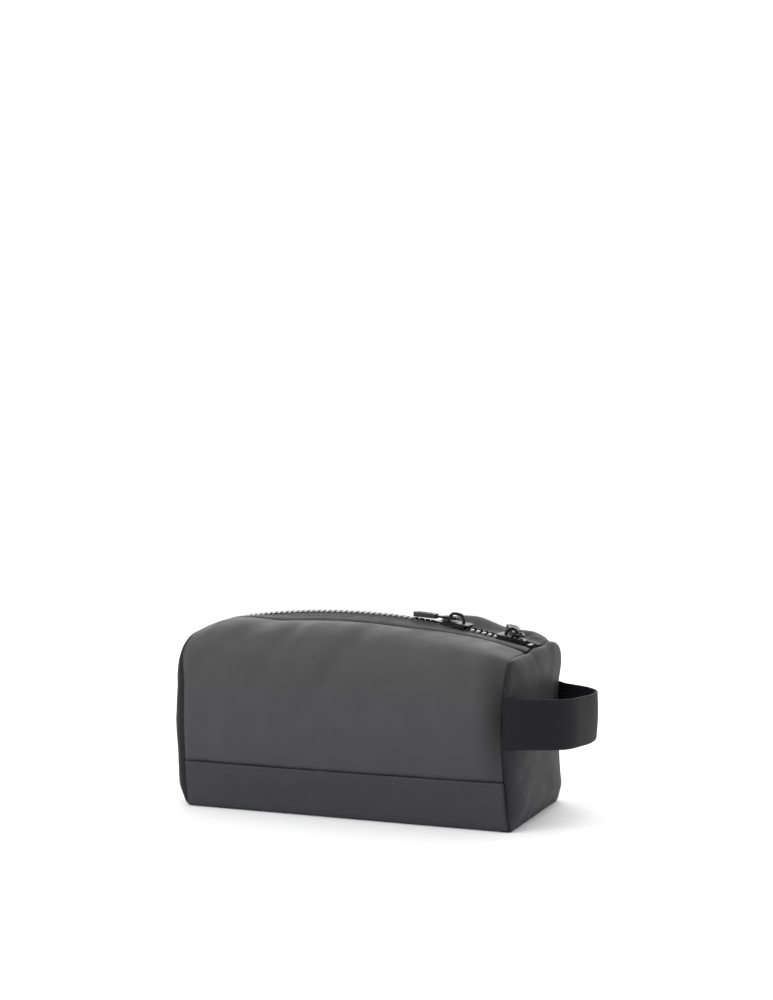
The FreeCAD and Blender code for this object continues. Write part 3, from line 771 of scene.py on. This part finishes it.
def make_band():
    """The base panel: one U-shaped piece up the front, along the bottom and up the back."""
    xs = spaced(-HALF_LENGTH, HALF_LENGTH, 2.4)
    front, back = band_side(xs, FRONT), band_side(xs, BACK)
    points, edge, painted_shade = (np.concatenate([b[:, :0:-1], f], axis=1) for f, b in zip(front, back))
    band = sheet_mesh("base_band_cloth", points, FABRIC, BAND, edge=edge, painted_shade=painted_shade)
    as_cloth(band, "base_panel")


# ---- end panels ----
def end_outline(side, count):
    """The closed outline of an end, as (y, z), evenly spaced, starting at the middle of the base."""
    x = side * HALF_LENGTH
    front, back = section(x, FRONT)[0], section(x, BACK)[0] * (-1, 1)
    ridge = [(y, float(facing_z(x, y))) for y in (-14.0, -10.0, -5.0, 0.0, 5.0, 10.0, 14.0)]
    ring = np.concatenate([front, ridge, back[:0:-1]])
    loop = np.concatenate([ring, ring[:1]])
    run = run_along(loop)
    return points_at(np.linspace(0, run[-1], count, endpoint=False), run, loop)


def end_grid(side, count, gaps):
    """Rings from the seam to the middle of an end. The sheet pillows out from its seam."""
    outline = end_outline(side, count)
    reach = np.linalg.norm(outline - END_MIDDLE, axis=1)
    points = np.zeros((count, len(gaps), 3))
    for j, gap in enumerate(gaps):
        share = 1 - gap
        flat = END_MIDDLE + (outline - END_MIDDLE) * share
        rise = END_BULGE[side] * (1 - share ** 7.0) ** 0.5
        floor = smoothstep((flat[:, 1] - 0.2) / 16)
        points[:, j, 1:] = flat
        seam = seam_shift(np.full(count, side * HALF_LENGTH), outline[:, 1])
        points[:, j, 0] = side * (HALF_LENGTH + rise * (0.35 + 0.65 * floor)) + seam * share ** 1.5
    return points, reach


def make_end(side):
    name = f"end_panel_{END[side]}"
    near_seam = [0, 0.006, 0.014, 0.024, 0.036, 0.05, 0.068, 0.09, 0.12, 0.155]
    gaps = np.concatenate([near_seam, np.linspace(0.2, 1, 17)])
    points, reach = end_grid(side, END_POINTS, gaps)
    y, z = points[..., 1], points[..., 2]
    distance = reach[:, None] * gaps[None, :]
    seed = SEED[name]
    fade = smoothstep(distance / 3) * smoothstep((1 - gaps) / 0.25)[None, :]
    relief = ripple(y, z, seed, 0.12 if side == RIGHT else 0.35) * fade
    around = np.arange(END_POINTS) * 420.0 / END_POINTS
    pucker = gathers(around, seed + 1, 0.25, 9.0, 24.0)
    relief = relief + pucker[:, None] * np.exp(-distance / 6) * fade
    if side == RIGHT:
        relief = relief + sum(fold(y, z, *f) for f in RIGHT_END_FOLDS) * fade
    else:
        points[..., 0] += 0.4 * np.maximum(-points[..., 0] - HALF_LENGTH, 0) * smoothstep((z - 86) / 26)
    points[..., 0] += side * (relief - rolled(distance, 1.8, 0.8))
    points[..., 1:] -= unit(points[..., 1:] - END_MIDDLE) * rolled(distance, 2.0, 1.7)[..., None]
    points[..., 2] = np.maximum(points[..., 2], 0.25)
    points[:, -1] = points[:, -1].mean(axis=0)
    edge = bell(distance - 2.6, 1.4)
    # Painted shade along the seam
    panel = ring_mesh(name + "_cloth", points, FABRIC, PAINTED_SHADE_END_FABRIC, side, edge, seam_painted_shade(distance, 1.4))
    as_cloth(panel, name)


def ring_mesh(name, points, thick, material, side, edge=None, painted_shade=None):
    """A closed sheet of rings about a middle point: rows go round and columns go inwards."""
    rows, cols = points.shape[:2]
    wide = np.concatenate([points[-1:], points, points[:1]], axis=0)
    normals = grid_normals(wide)[1:-1]
    normals[:, -1] = (side, 0, 0)
    if (normals[:, cols // 2, 0] * side).mean() < 0:
        normals[:, :-1] *= -1
    uv = points[..., 1:].reshape(-1, 2)
    obj = closed_sheet(name, points, points - normals * thick, np.arange(rows) * cols, True, side > 0, uv,
                       material, edge, painted_shade)
    face_outwards(obj, merge=True)
    return obj


# ---- zip ----
def node_centre_length(name):
    low, high = node_mm(name)
    return float(arc_length((low[0] + high[0]) / 2))


S_A, S_B = node_centre_length("slider_body_a"), node_centre_length("slider_body_b")


def on_arc(points, s, settled=False):
    """Points given as (along, across, up) from the chain's middle line, set at a length s along the arc.
    Settled ones follow the zip down at its left end."""
    tilt = s / ARC_RADIUS
    radius = ARC_RADIUS + points[:, 2]
    x = ARC_X + radius * math.sin(tilt) + points[:, 0] * math.cos(tilt)
    z = ARC_CENTRE[2] + radius * math.cos(tilt) - points[:, 0] * math.sin(tilt)
    if settled:
        middle = ARC_X + ARC_RADIUS * math.sin(tilt)
        z += float(zip_z(middle) - arc_z(middle))
    return np.stack([x, points[:, 1], z], axis=1)


def row_offset(s):
    """How far each row of teeth stands aside, at a length along the arc: only between the sliders."""
    ramp = SLIDER_HALF + 1
    return ROW_OPEN * np.minimum(smoothstep((s - S_A + 1) / ramp), smoothstep((S_B + 1 - s) / ramp))


def facing_gather(x, side):
    """How the stitches gather a facing."""
    return gathers(x, SEED[f"{SIDE[side]}_zip_facing"], 0.12, 8.0, 22.0)


def make_facing(side):
    """The folded strip between the panel and the zip tape, sewn down along its inner edge."""
    xs = spaced(-HALF_LENGTH + 0.4, HALF_LENGTH - 0.4, 2.4)
    width = FACING_OUTER - FACING_INNER
    across = np.concatenate([[0, 0.3, 0.7, 1.2, 1.8], np.linspace(2.6, width - 2.2, 6),
                             width - np.array([1.5, 0.9, 0.5, 0.2, 0])])
    x = np.repeat(xs[:, None], len(across), axis=1)
    y = -(FACING_OUTER - across[None, :]) + 0 * x
    outer_gap, inner_gap = across[None, :] + 0 * x, width - across[None, :] + 0 * x
    puff = 0.35 * np.sin(math.pi * np.clip(across / width, 0, 1))[None, :]
    pressed = 0.28 * bell(inner_gap - FACING_STITCH, 0.5)
    turned = rolled(outer_gap, 1.8, 0.9) + rolled(inner_gap, 0.8, 0.55)
    rise = puff + facing_gather(x, side) - pressed - turned
    y = y * -side
    z = facing_z(x, y) + rise
    points = np.stack([x + seam_shift(x, z), y, z], axis=-1)
    edge = 0.8 * bell(inner_gap - 0.7, 0.5)
    name = f"{SIDE[side]}_zip_facing"
    # Painted shade in the seam at the outer edge and along the stitch line
    painted_shade = np.maximum(seam_painted_shade(outer_gap, 1.3), 0.9 * seam_painted_shade(inner_gap - FACING_STITCH, 0.6))
    strip = sheet_mesh(name + "_cloth", points, 1.0, BODY, flip=side == BACK, edge=edge, painted_shade=painted_shade)
    as_cloth(strip, name)


def tape_top(x, y):
    return zip_z(x) + TAPE_THICK / 2 - ridge_fall(x, y)


def make_tape(side):
    """The woven tape, with the corded edge that the teeth are moulded on."""
    xs = np.linspace(-HALF_LENGTH + 0.5, HALF_LENGTH - 0.5, 200)
    across = np.array([0, 0.25, 0.7, 1.3, 2.2, 3.2, 4.4, 5.6, 6.8, 8.0, 9.2, 10.6, 12.0, 13.2])
    x = np.repeat(xs[:, None], len(across), axis=1)
    inner = TAPE_INNER + row_offset(arc_length(xs))[:, None]
    y = -np.minimum(inner + across[None, :], TAPE_OUTER + 0 * x + across[None, :] * 0.02)
    cord = 0.25 * bell(across - 0.6, 0.5)[None, :]
    y = y * -side
    points = np.stack([x, y, tape_top(x, y) + cord - 0.05], axis=-1)
    name = f"{SIDE[side]}_zip_tape"
    tape = sheet_mesh(name + "_weave", points, TAPE_THICK * 0.8, TAPE, flip=side == FRONT)
    as_cloth(tape, name)


def add_prism(work, outline, low, high):
    """Adds an extruded polygon to a mesh in the making, and returns its edges."""
    under = [work.verts.new((x, y, low)) for x, y in outline]
    over = [work.verts.new((x, y, high)) for x, y in outline]
    made = [work.faces.new(under[::-1]), work.faces.new(over)]
    for k in range(len(outline)):
        m = (k + 1) % len(outline)
        made.append(work.faces.new((under[k], under[m], over[m], over[k])))
    return list({e for f in made for e in f.edges})


TOOTH_OUTLINE = ((-1.5, -4.5), (1.5, -4.5), (1.5, -1.6), (0.75, -0.7), (0.8, 1.0), (-0.8, 1.0), (-0.75, -0.7),
                 (-1.5, -1.6))
TOOTH_HALF_HEIGHT = 2.2


def tooth_template():
    """One moulded tooth of the front row: a block on the tape, and a narrower head past the middle. The
    origin is on the tape's middle surface at the chain's centre line, and the top slopes down outwards."""
    work = bmesh.new()
    add_prism(work, TOOTH_OUTLINE, -TOOTH_HALF_HEIGHT, TOOTH_HALF_HEIGHT)
    bmesh.ops.bevel(work, geom=list(work.edges), offset=0.55, segments=3, profile=0.5, affect="EDGES")
    bmesh.ops.triangulate(work, faces=[f for f in work.faces if len(f.verts) > 4])
    points, faces = read_out(work)
    points[:, 2] *= 1 - 0.16 * np.maximum(-1 - points[:, 1], 0)
    return points, faces


def make_teeth(side):
    """A row of separate moulded teeth along the arc."""
    name = f"{SIDE[side]}_zip_teeth"
    template, template_faces = tooth_template()
    start, end = float(arc_length(-HALF_LENGTH)), float(arc_length(HALF_LENGTH))
    first = start + STOP_LENGTH + FIRST_TOOTH + (0 if side == FRONT else PITCH / 2)
    verts, faces, count = [], [], 0
    dice = np.random.RandomState(SEED[name])
    while first + count * PITCH < end - STOP_LENGTH - FIRST_TOOTH:
        s = first + count * PITCH
        slope = float(row_offset(s + 0.5) - row_offset(s - 0.5))
        yaw = -math.atan(slope) + dice.uniform(-0.03, 0.03)
        c, w = math.cos(yaw), math.sin(yaw)
        p = template.copy()
        p[:, :2] = np.stack([p[:, 0] * c - p[:, 1] * w, p[:, 0] * w + p[:, 1] * c], axis=1)
        p[:, 1] = (p[:, 1] - float(row_offset(s))) * -side
        p[:, 2] += dice.uniform(-0.05, 0.05)
        verts.append(on_arc(p, s, settled=True))
        faces += [[i + count * len(template) for i in f[::-side]] for f in template_faces]
        count += 1
    row = make_object(name + "_moulded", np.concatenate(verts), faces, TEETH, sharp=60)
    stand_in(row, name)


def make_left_stop():
    """The moulded block that closes the left end of the chain, settled with the tapes."""
    low, high = node_mm("zip_stop_left")
    work = bmesh.new()
    bmesh.ops.create_cube(work, size=1.0)
    size = (STOP_LENGTH + 0.6, high[1] - low[1], 4.4)
    bmesh.ops.scale(work, vec=size, verts=work.verts)
    bmesh.ops.bevel(work, geom=list(work.edges), offset=0.8, segments=3, profile=0.5, affect="EDGES")
    points, faces = read_out(work)
    points[:, 0] *= 1 - 0.12 * np.cos(points[:, 1] / size[1] * 2 * math.pi)
    points = on_arc(points, node_centre_length("zip_stop_left"), settled=True)
    stop = make_object("zip_stop_left_moulded", points, faces, TEETH, sharp=60)
    stand_in(stop, "zip_stop_left")


SLIDER_SIDE = ((-10.0, 4.6), (-9.2, 5.6), (-4.0, 6.2), (1.0, 8.2), (5.0, 9.6), (8.2, 9.6), (10.0, 7.6))
SLIDER_WEDGE = ((4.6, 0.0), (8.6, -2.2), (9.6, 0.0), (8.6, 2.2))
CROWN = {"a": (-6.6, 4.6, 9.3), "b": (-5.0, 3.7, 9.0)}   # left leg, right leg and top
CROWN_RING = ((1.0, 0.7), (0.65, 1.15), (-0.65, 1.15), (-1.0, 0.7), (-1.0, -0.7), (-0.65, -1.15),
              (0.65, -1.15), (1.0, -0.7))


def slider_mesh(crown):
    """A cast slider in its own frame: two plates on a wedge, turned-in flanges, and an arched crown whose
    left leg, right leg and top are given. The nose, with its two throats, points to +X."""
    work = bmesh.new()
    other = [(x, -y) for x, y in reversed(SLIDER_SIDE)]
    edges = []
    for low, high in ((PLATE_LOW, PLATE_TOP), (-PLATE_TOP, -PLATE_LOW)):
        edges += add_prism(work, [*other, *SLIDER_SIDE], low, high)
    flange = [(x, y - 1.2) for x, y in SLIDER_SIDE[1:-1]]
    for low, high in ((0.8, PLATE_LOW + 0.2), (-PLATE_LOW - 0.2, -0.8)):
        for sign in (1, -1):
            rim = [(x, sign * y) for x, y in [*SLIDER_SIDE[1:-1], *reversed(flange)]]
            edges += add_prism(work, rim[::sign], low, high)
    edges += add_prism(work, SLIDER_WEDGE, -PLATE_LOW - 0.1, PLATE_LOW + 0.1)
    bmesh.ops.bevel(work, geom=edges, offset=0.35, segments=2, profile=0.5, affect="EDGES")
    left, right, top = crown
    foot = PLATE_TOP - 0.6
    path = smooth_path([(left, foot), (left + 0.1, 5.6), (left + 1.3, top - 1.4), (left + 3.2, top),
                        (right - 3.0, top), (right - 1.1, top - 1.5), (right, 5.6), (right, foot)], 6)
    along = unit(np.gradient(path, axis=0))
    out = np.stack([-along[:, 1], along[:, 0]], axis=1)
    bridge = [work.verts.new((place[0] + normal[0] * a, b, place[1] + normal[1] * a))
              for place, normal in zip(path, out) for a, b in CROWN_RING]
    for face in tube_faces(len(path), len(CROWN_RING)):
        work.faces.new([bridge[i] for i in face])
    bmesh.ops.recalc_face_normals(work, faces=work.faces)
    return read_out(work)


def make_slider(label, s, nose):
    """A slider on the arc, with its nose pointing LEFT or RIGHT."""
    crown = CROWN[label]
    legs = crown if nose == RIGHT else (-crown[1], -crown[0], crown[2])
    points, faces = slider_mesh(legs)
    points[:, :2] *= nose
    slider = make_object(f"slider_body_{label}_cast", on_arc(points, s), faces, ENAMEL, sharp=45)
    stand_in(slider, f"slider_body_{label}", f"slider_{label}")


def finish_node(name, material, bevel):
    """A rigid CAD node keeps its shape and gets its finish and softened edges."""
    obj = frame["nodes"][name]
    obj.data.materials.clear()
    obj.data.materials.append(material)
    if bevel:
        round_off = obj.modifiers.new("softened", "BEVEL")
        round_off.width = bevel * MM
        round_off.segments = 3
        round_off.limit_method = "ANGLE"
        round_off.angle_limit = math.radians(40)
        round_off.harden_normals = True


# ---- stitches ----
def stitch_mesh(name, path, normals, pitch, length, radius):
    """A row of short thread stitches, each bowed up between its needle holes."""
    path, normals = np.asarray(path, dtype=float), unit(np.asarray(normals, dtype=float))
    run = run_along(path)
    rings, sides = 7, 6
    turn = np.arange(sides) * 2 * math.pi / sides
    bow = np.sin(np.linspace(0, math.pi, rings))
    thick = radius * (0.55 + 0.45 * bow)[:, None, None]
    verts, faces = [], []
    for k in range(int(run[-1] / pitch)):
        at = (k + 0.5) * pitch + np.linspace(-length / 2, length / 2, rings)
        centre = points_at(at, run, path)
        up = unit(points_at(at, run, normals))
        over = np.cross(unit(np.gradient(centre, axis=0)), up)
        centre = centre + up * (radius * (1.1 * bow - 0.75))[:, None]
        ring = (centre[:, None] + over[:, None] * (np.cos(turn)[None, :, None] * thick)
                + up[:, None] * (np.sin(turn)[None, :, None] * thick))
        faces += tube_faces(rings, sides, len(verts) * rings * sides)
        verts.append(ring.reshape(-1, 3))
    row = make_object(name, np.concatenate(verts), faces, THREAD, sharp=80)
    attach(row, "bag")


def band_line(side, gap, inset):
    """A line along the band at a gap below its folded edge, with its outward normals."""
    xs = np.linspace(-HALF_LENGTH + inset, HALF_LENGTH - inset, 160)
    points, reach = skin(xs, np.linspace(0, 1, 5), -gap - 2, -gap + 2, side)
    normals = grid_normals(points)
    relief = band_relief(points[..., 0], reach, side)
    points = points + normals * relief[..., None]
    line, up = points[:, 2], normals[:, 2]
    return (mirrored(line), mirrored(up)) if side == BACK else (line, up)


def facing_line(side, inner_gap, inset):
    """A line along a facing at a gap from its inner edge, with its normals."""
    xs = np.linspace(-HALF_LENGTH + inset, HALF_LENGTH - inset, 160)
    y = side * (FACING_INNER + inner_gap) + 0 * xs
    z = facing_z(xs, y) + facing_gather(xs, side) + 0.05
    line = np.stack([xs, y, z], axis=1)
    slope = (facing_z(xs, y + 0.5) - facing_z(xs, y - 0.5))
    up = unit(np.stack([0 * xs, -slope, 1 + 0 * xs], axis=1))
    return line, up


def make_stitches():
    for side, label in SIDE.items():
        stitch_mesh(f"band_topstitch_{label}", *band_line(side, BAND_STITCH, 6), *BAND_THREAD)
        stitch_mesh(f"zip_topstitch_{label}", *facing_line(side, FACING_STITCH, 5), *FACING_THREAD)


# ---- handle ----
# The middle of the handle seen from above, as (x, y), from its front leg to its back leg
STRAP_ROUTE = ((116.8, -57.6), (118.8, -59.4), (123, -60), (132, -57.8), (143, -53), (152.5, -46.2),
               (158.5, -36), (161.2, -21.5), (162.8, -6), (162.4, 7.5), (159.6, 18), (152.5, 27), (142, 34.5),
               (131.8, 43.2), (125.5, 51), (117, 58.8))
STRAP_LOW, STRAP_HIGH = node_mm("side_handle")[0][2], node_mm("side_handle")[1][2]
STRAP_HALF = (STRAP_HIGH - STRAP_LOW) / 2 + 0.5
SELVEDGE = 0.7                        # the rounding at the webbing's edges


def strap_ring():
    """The webbing's section, as (depth, height) round its middle: two flat faces and rounded selvedges."""
    thick, tip = STRAP_THICK / 2, 0.22
    rise = np.linspace(-STRAP_HALF + SELVEDGE, STRAP_HALF - SELVEDGE, 17)
    top = [(tip + (thick - tip) * math.cos(a), STRAP_HALF - SELVEDGE + SELVEDGE * math.sin(a))
           for a in np.radians((30, 60, 90))]
    half = [(thick, w) for w in rise] + top
    return np.array(half + [(-a, b) for a, b in reversed(top)] + [(-thick, w) for w in rise[::-1]]
                    + [(-a, -b) for a, b in top] + [(a, -b) for a, b in reversed(top)])


def make_handle():
    """The webbing loop, which droops a little at its far end."""
    centre = smooth_path(STRAP_ROUTE, 12)
    run = run_along(centre)
    even = np.linspace(0, run[-1], 150)
    centre = points_at(even, run, centre)
    along = unit(np.gradient(centre, axis=0))
    out = np.stack([along[:, 1], -along[:, 0]], axis=1)
    share = even / run[-1]
    droop = -0.9 * bell(share - 0.55, 0.24) - 0.4 * share
    middle = (STRAP_HIGH + STRAP_LOW) / 2 + 1.2
    ring = strap_ring()
    cup = 0.9 * np.sin(math.pi * share) ** 0.5
    points = np.zeros((len(even), len(ring), 3))
    lean = 0.03 * np.sin(math.pi * share)
    for j, (depth, height) in enumerate(ring):
        curl = -cup * (height / STRAP_HALF) ** 2 * 0.5 + height * lean
        offset = depth + curl + 0.15 * np.sin(even / 7.0 + height / 6.0)
        points[:, j, :2] = centre + out * offset[:, None]
        points[:, j, 2] = middle + height + droop
    wave = gathers(even, SEED["side_handle"], 0.12, 20, 50, 4)
    points[..., 2] += wave[:, None] * np.clip(np.abs(points[..., 2] - middle) / STRAP_HALF, 0, 1)
    uv = np.stack(np.meshgrid(even, ring[:, 1] + STRAP_HALF, indexing="ij"), axis=-1).reshape(-1, 2)
    faces = tube_faces(*points.shape[:2])
    strap = make_object("side_handle_webbing", points.reshape(-1, 3), faces, WEBBING, uv, sharp=70)
    stand_in(strap, "side_handle")


# ---- inside ----
def make_lining(side):
    """The lining of the front or back, from the floor up to the zip tape."""
    xs = spaced(-HALF_LENGTH + 2, HALF_LENGTH - 2, 5.0, False, False)
    shares = np.linspace(0, 1, 36)
    points, reach = skin(xs, shares, -22.0, None, side)
    points[..., 0] = xs[:, None]
    normals = grid_normals(points)
    name = f"lining_{SIDE[side]}"
    slack = ripple(xs[:, None], reach, SEED[name], 0.5, 7, 18.0, 60.0)
    points = points - normals * (LINING_BACK + np.abs(slack))[..., None]
    if side == BACK:
        points = mirrored(points)
    piece = sheet_mesh(name + "_cloth", points, LINING_THICK, LINING, flip=side == BACK)
    as_cloth(piece, name)


def make_lining_floor():
    low, high = node_mm("lining_floor")
    xs = np.linspace(low[0], high[0], 60)
    ys = np.linspace(low[1], high[1], 32)
    x, y = np.meshgrid(xs, ys, indexing="ij")
    z = high[2] + 0.25 + np.abs(ripple(x, y, SEED["lining_floor"], 0.35, 7, 18.0, 60.0))
    piece = sheet_mesh("lining_floor_cloth", np.stack([x, y, z], axis=-1), 0.3, LINING)
    as_cloth(piece, "lining_floor")


def make_lining_end(side):
    name = f"lining_end_{END[side]}"
    count = 120
    outline = end_outline(side, count)
    shares = np.linspace(1, 0, 14)
    points = np.zeros((count, len(shares), 3))
    for j, share in enumerate(shares):
        flat = END_MIDDLE + (outline - END_MIDDLE) * share * 0.955
        points[:, j, 1:] = flat
        wave = ripple(flat[:, 0], flat[:, 1], SEED[name], 0.4)
        points[:, j, 0] = side * (HALF_LENGTH - 1.6 - np.abs(wave))
    points[:, -1] = points[:, -1].mean(axis=0)
    points[..., 2] = np.clip(points[..., 2], 3.4, float(arc_z(side * HALF_LENGTH)) - 6)
    piece = ring_mesh(name + "_cloth", points, LINING_THICK, LINING, -side)
    as_cloth(piece, name)


def unbroken_runs(keep):
    """The runs of kept places round a ring, each as a list of places in order."""
    count = len(keep)
    first = int(np.argmax(keep & ~np.roll(keep, 1)))
    order = [k % count for k in range(first, first + count) if keep[k % count]]
    runs = [[order[0]]]
    for a, b in zip(order, order[1:]):
        if (b - a) % count == 1:
            runs[-1].append(b)
        else:
            runs.append([b])
    return runs


# The binding's section, as (across, depth) from the seam allowance's foot
BINDING_PROFILE = ((-0.8, 0.0), (-0.8, 6.4), (-0.5, 7.0), (0, 7.2), (0.5, 7.0), (0.8, 6.4), (0.8, 0.0))
BINDING_INSET = 3.4                   # from the outline and from the end seam
BINDING_FLOOR = 3.6                   # it stops above the base


def make_binding(side):
    """The binding folded over the seam allowance, standing inwards round each end."""
    name = f"seam_binding_{END[side]}"
    outline = end_outline(side, END_POINTS)
    inwards = unit(END_MIDDLE - outline)
    x = side * (HALF_LENGTH - BINDING_INSET)
    wave = gathers(np.arange(END_POINTS) * 2.0, SEED[name], 0.3, 12.0, 40.0, 5)
    points = np.zeros((END_POINTS, len(BINDING_PROFILE), 3))
    for j, (across, depth) in enumerate(BINDING_PROFILE):
        points[:, j, 0] = x + across + wave * depth / 7
        points[:, j, 1:] = outline + inwards * (BINDING_INSET + depth)
    clear_of_zip = (points[:, 0, 2] < arc_z(side * HALF_LENGTH) - 7) | (np.abs(points[:, 0, 1]) > 24)
    verts, faces = [], []
    for run in unbroken_runs(clear_of_zip & (points[:, :, 2].min(axis=1) > BINDING_FLOOR)):
        faces += tube_faces(len(run), len(BINDING_PROFILE), len(verts))
        verts += points[run].reshape(-1, 3).tolist()
    piece = make_object(name + "_tape", verts, faces, BINDING, np.asarray(verts)[:, 1:])
    face_outwards(piece)
    stand_in(piece, name)


# ---- build ----
for side in (FRONT, BACK):
    make_panel(side)
    make_facing(side)
    make_tape(side)
    make_teeth(side)
    make_lining(side)
make_band()
for side in (LEFT, RIGHT):
    make_end(side)
    make_lining_end(side)
    make_binding(side)
make_lining_floor()
make_stitches()
make_handle()
for label in ("a", "b"):
    finish_node(f"pull_link_{label}", ENAMEL, 0.25)
    finish_node(f"pull_grip_{label}", RUBBER, 0.95)
make_slider("a", S_A, RIGHT)
make_slider("b", S_B, LEFT)
make_left_stop()
finish_node("zip_stop_right", TEETH, 0.3)
finish_node("base_stiffener", BOARD, 0)


# ---- studio ----
LIT_PLACE = (0.0, 0.0, 0.07)          # in metres, as all of the studio
LIGHTS = (                            # name, place, size and watts
    ("key", (-0.5, -0.8, 1.2), (0.7, 0.7), 6),
    ("top", (0.1, 0.1, 1.3), (1.0, 0.5), 1),
    ("behind", (-0.3, 1.1, 0.8), (1.4, 0.65), 9),
)
WORLD_STRENGTH = 1.08
FLOOR_REACH = 8.0
FLOOR_LEVEL = -0.0002                 # just under the base, so that the two don't lie in one plane


def area_light(name, place, size, power):
    data = bpy.data.lights.new(name, "AREA")
    data.shape = "RECTANGLE"
    data.size, data.size_y = size
    data.energy = power
    lamp = add_object(name, data)
    lamp.location = place
    direction = np.array(LIT_PLACE) - np.array(place)
    yaw = math.atan2(direction[0], -direction[1])
    pitch = math.atan2(math.hypot(direction[0], direction[1]), -direction[2])
    lamp.rotation_euler = (pitch, 0, yaw + math.pi)


def make_studio():
    mesh = bpy.data.meshes.new("floor")
    low, high = -FLOOR_REACH, FLOOR_REACH
    corners = [(x, y, FLOOR_LEVEL) for x, y in ((low, low), (high, low), (high, high), (low, high))]
    mesh.from_pydata(corners, [], [(0, 1, 2, 3)])
    floor = add_object("floor", mesh)
    mesh.materials.append(Nodes("studio_floor").set(color=grey(0.93), roughness=0.9, specular=0.1))
    world = bpy.data.worlds.new("studio")
    world.use_nodes = True
    background = world.node_tree.nodes["Background"]
    background.inputs[0].default_value = (1, 1, 1, 1)
    background.inputs[1].default_value = WORLD_STRENGTH
    bpy.context.scene.world = world
    for light in LIGHTS:
        area_light(*light)
    bpy.context.scene.view_settings.view_transform = "Standard"


make_studio()
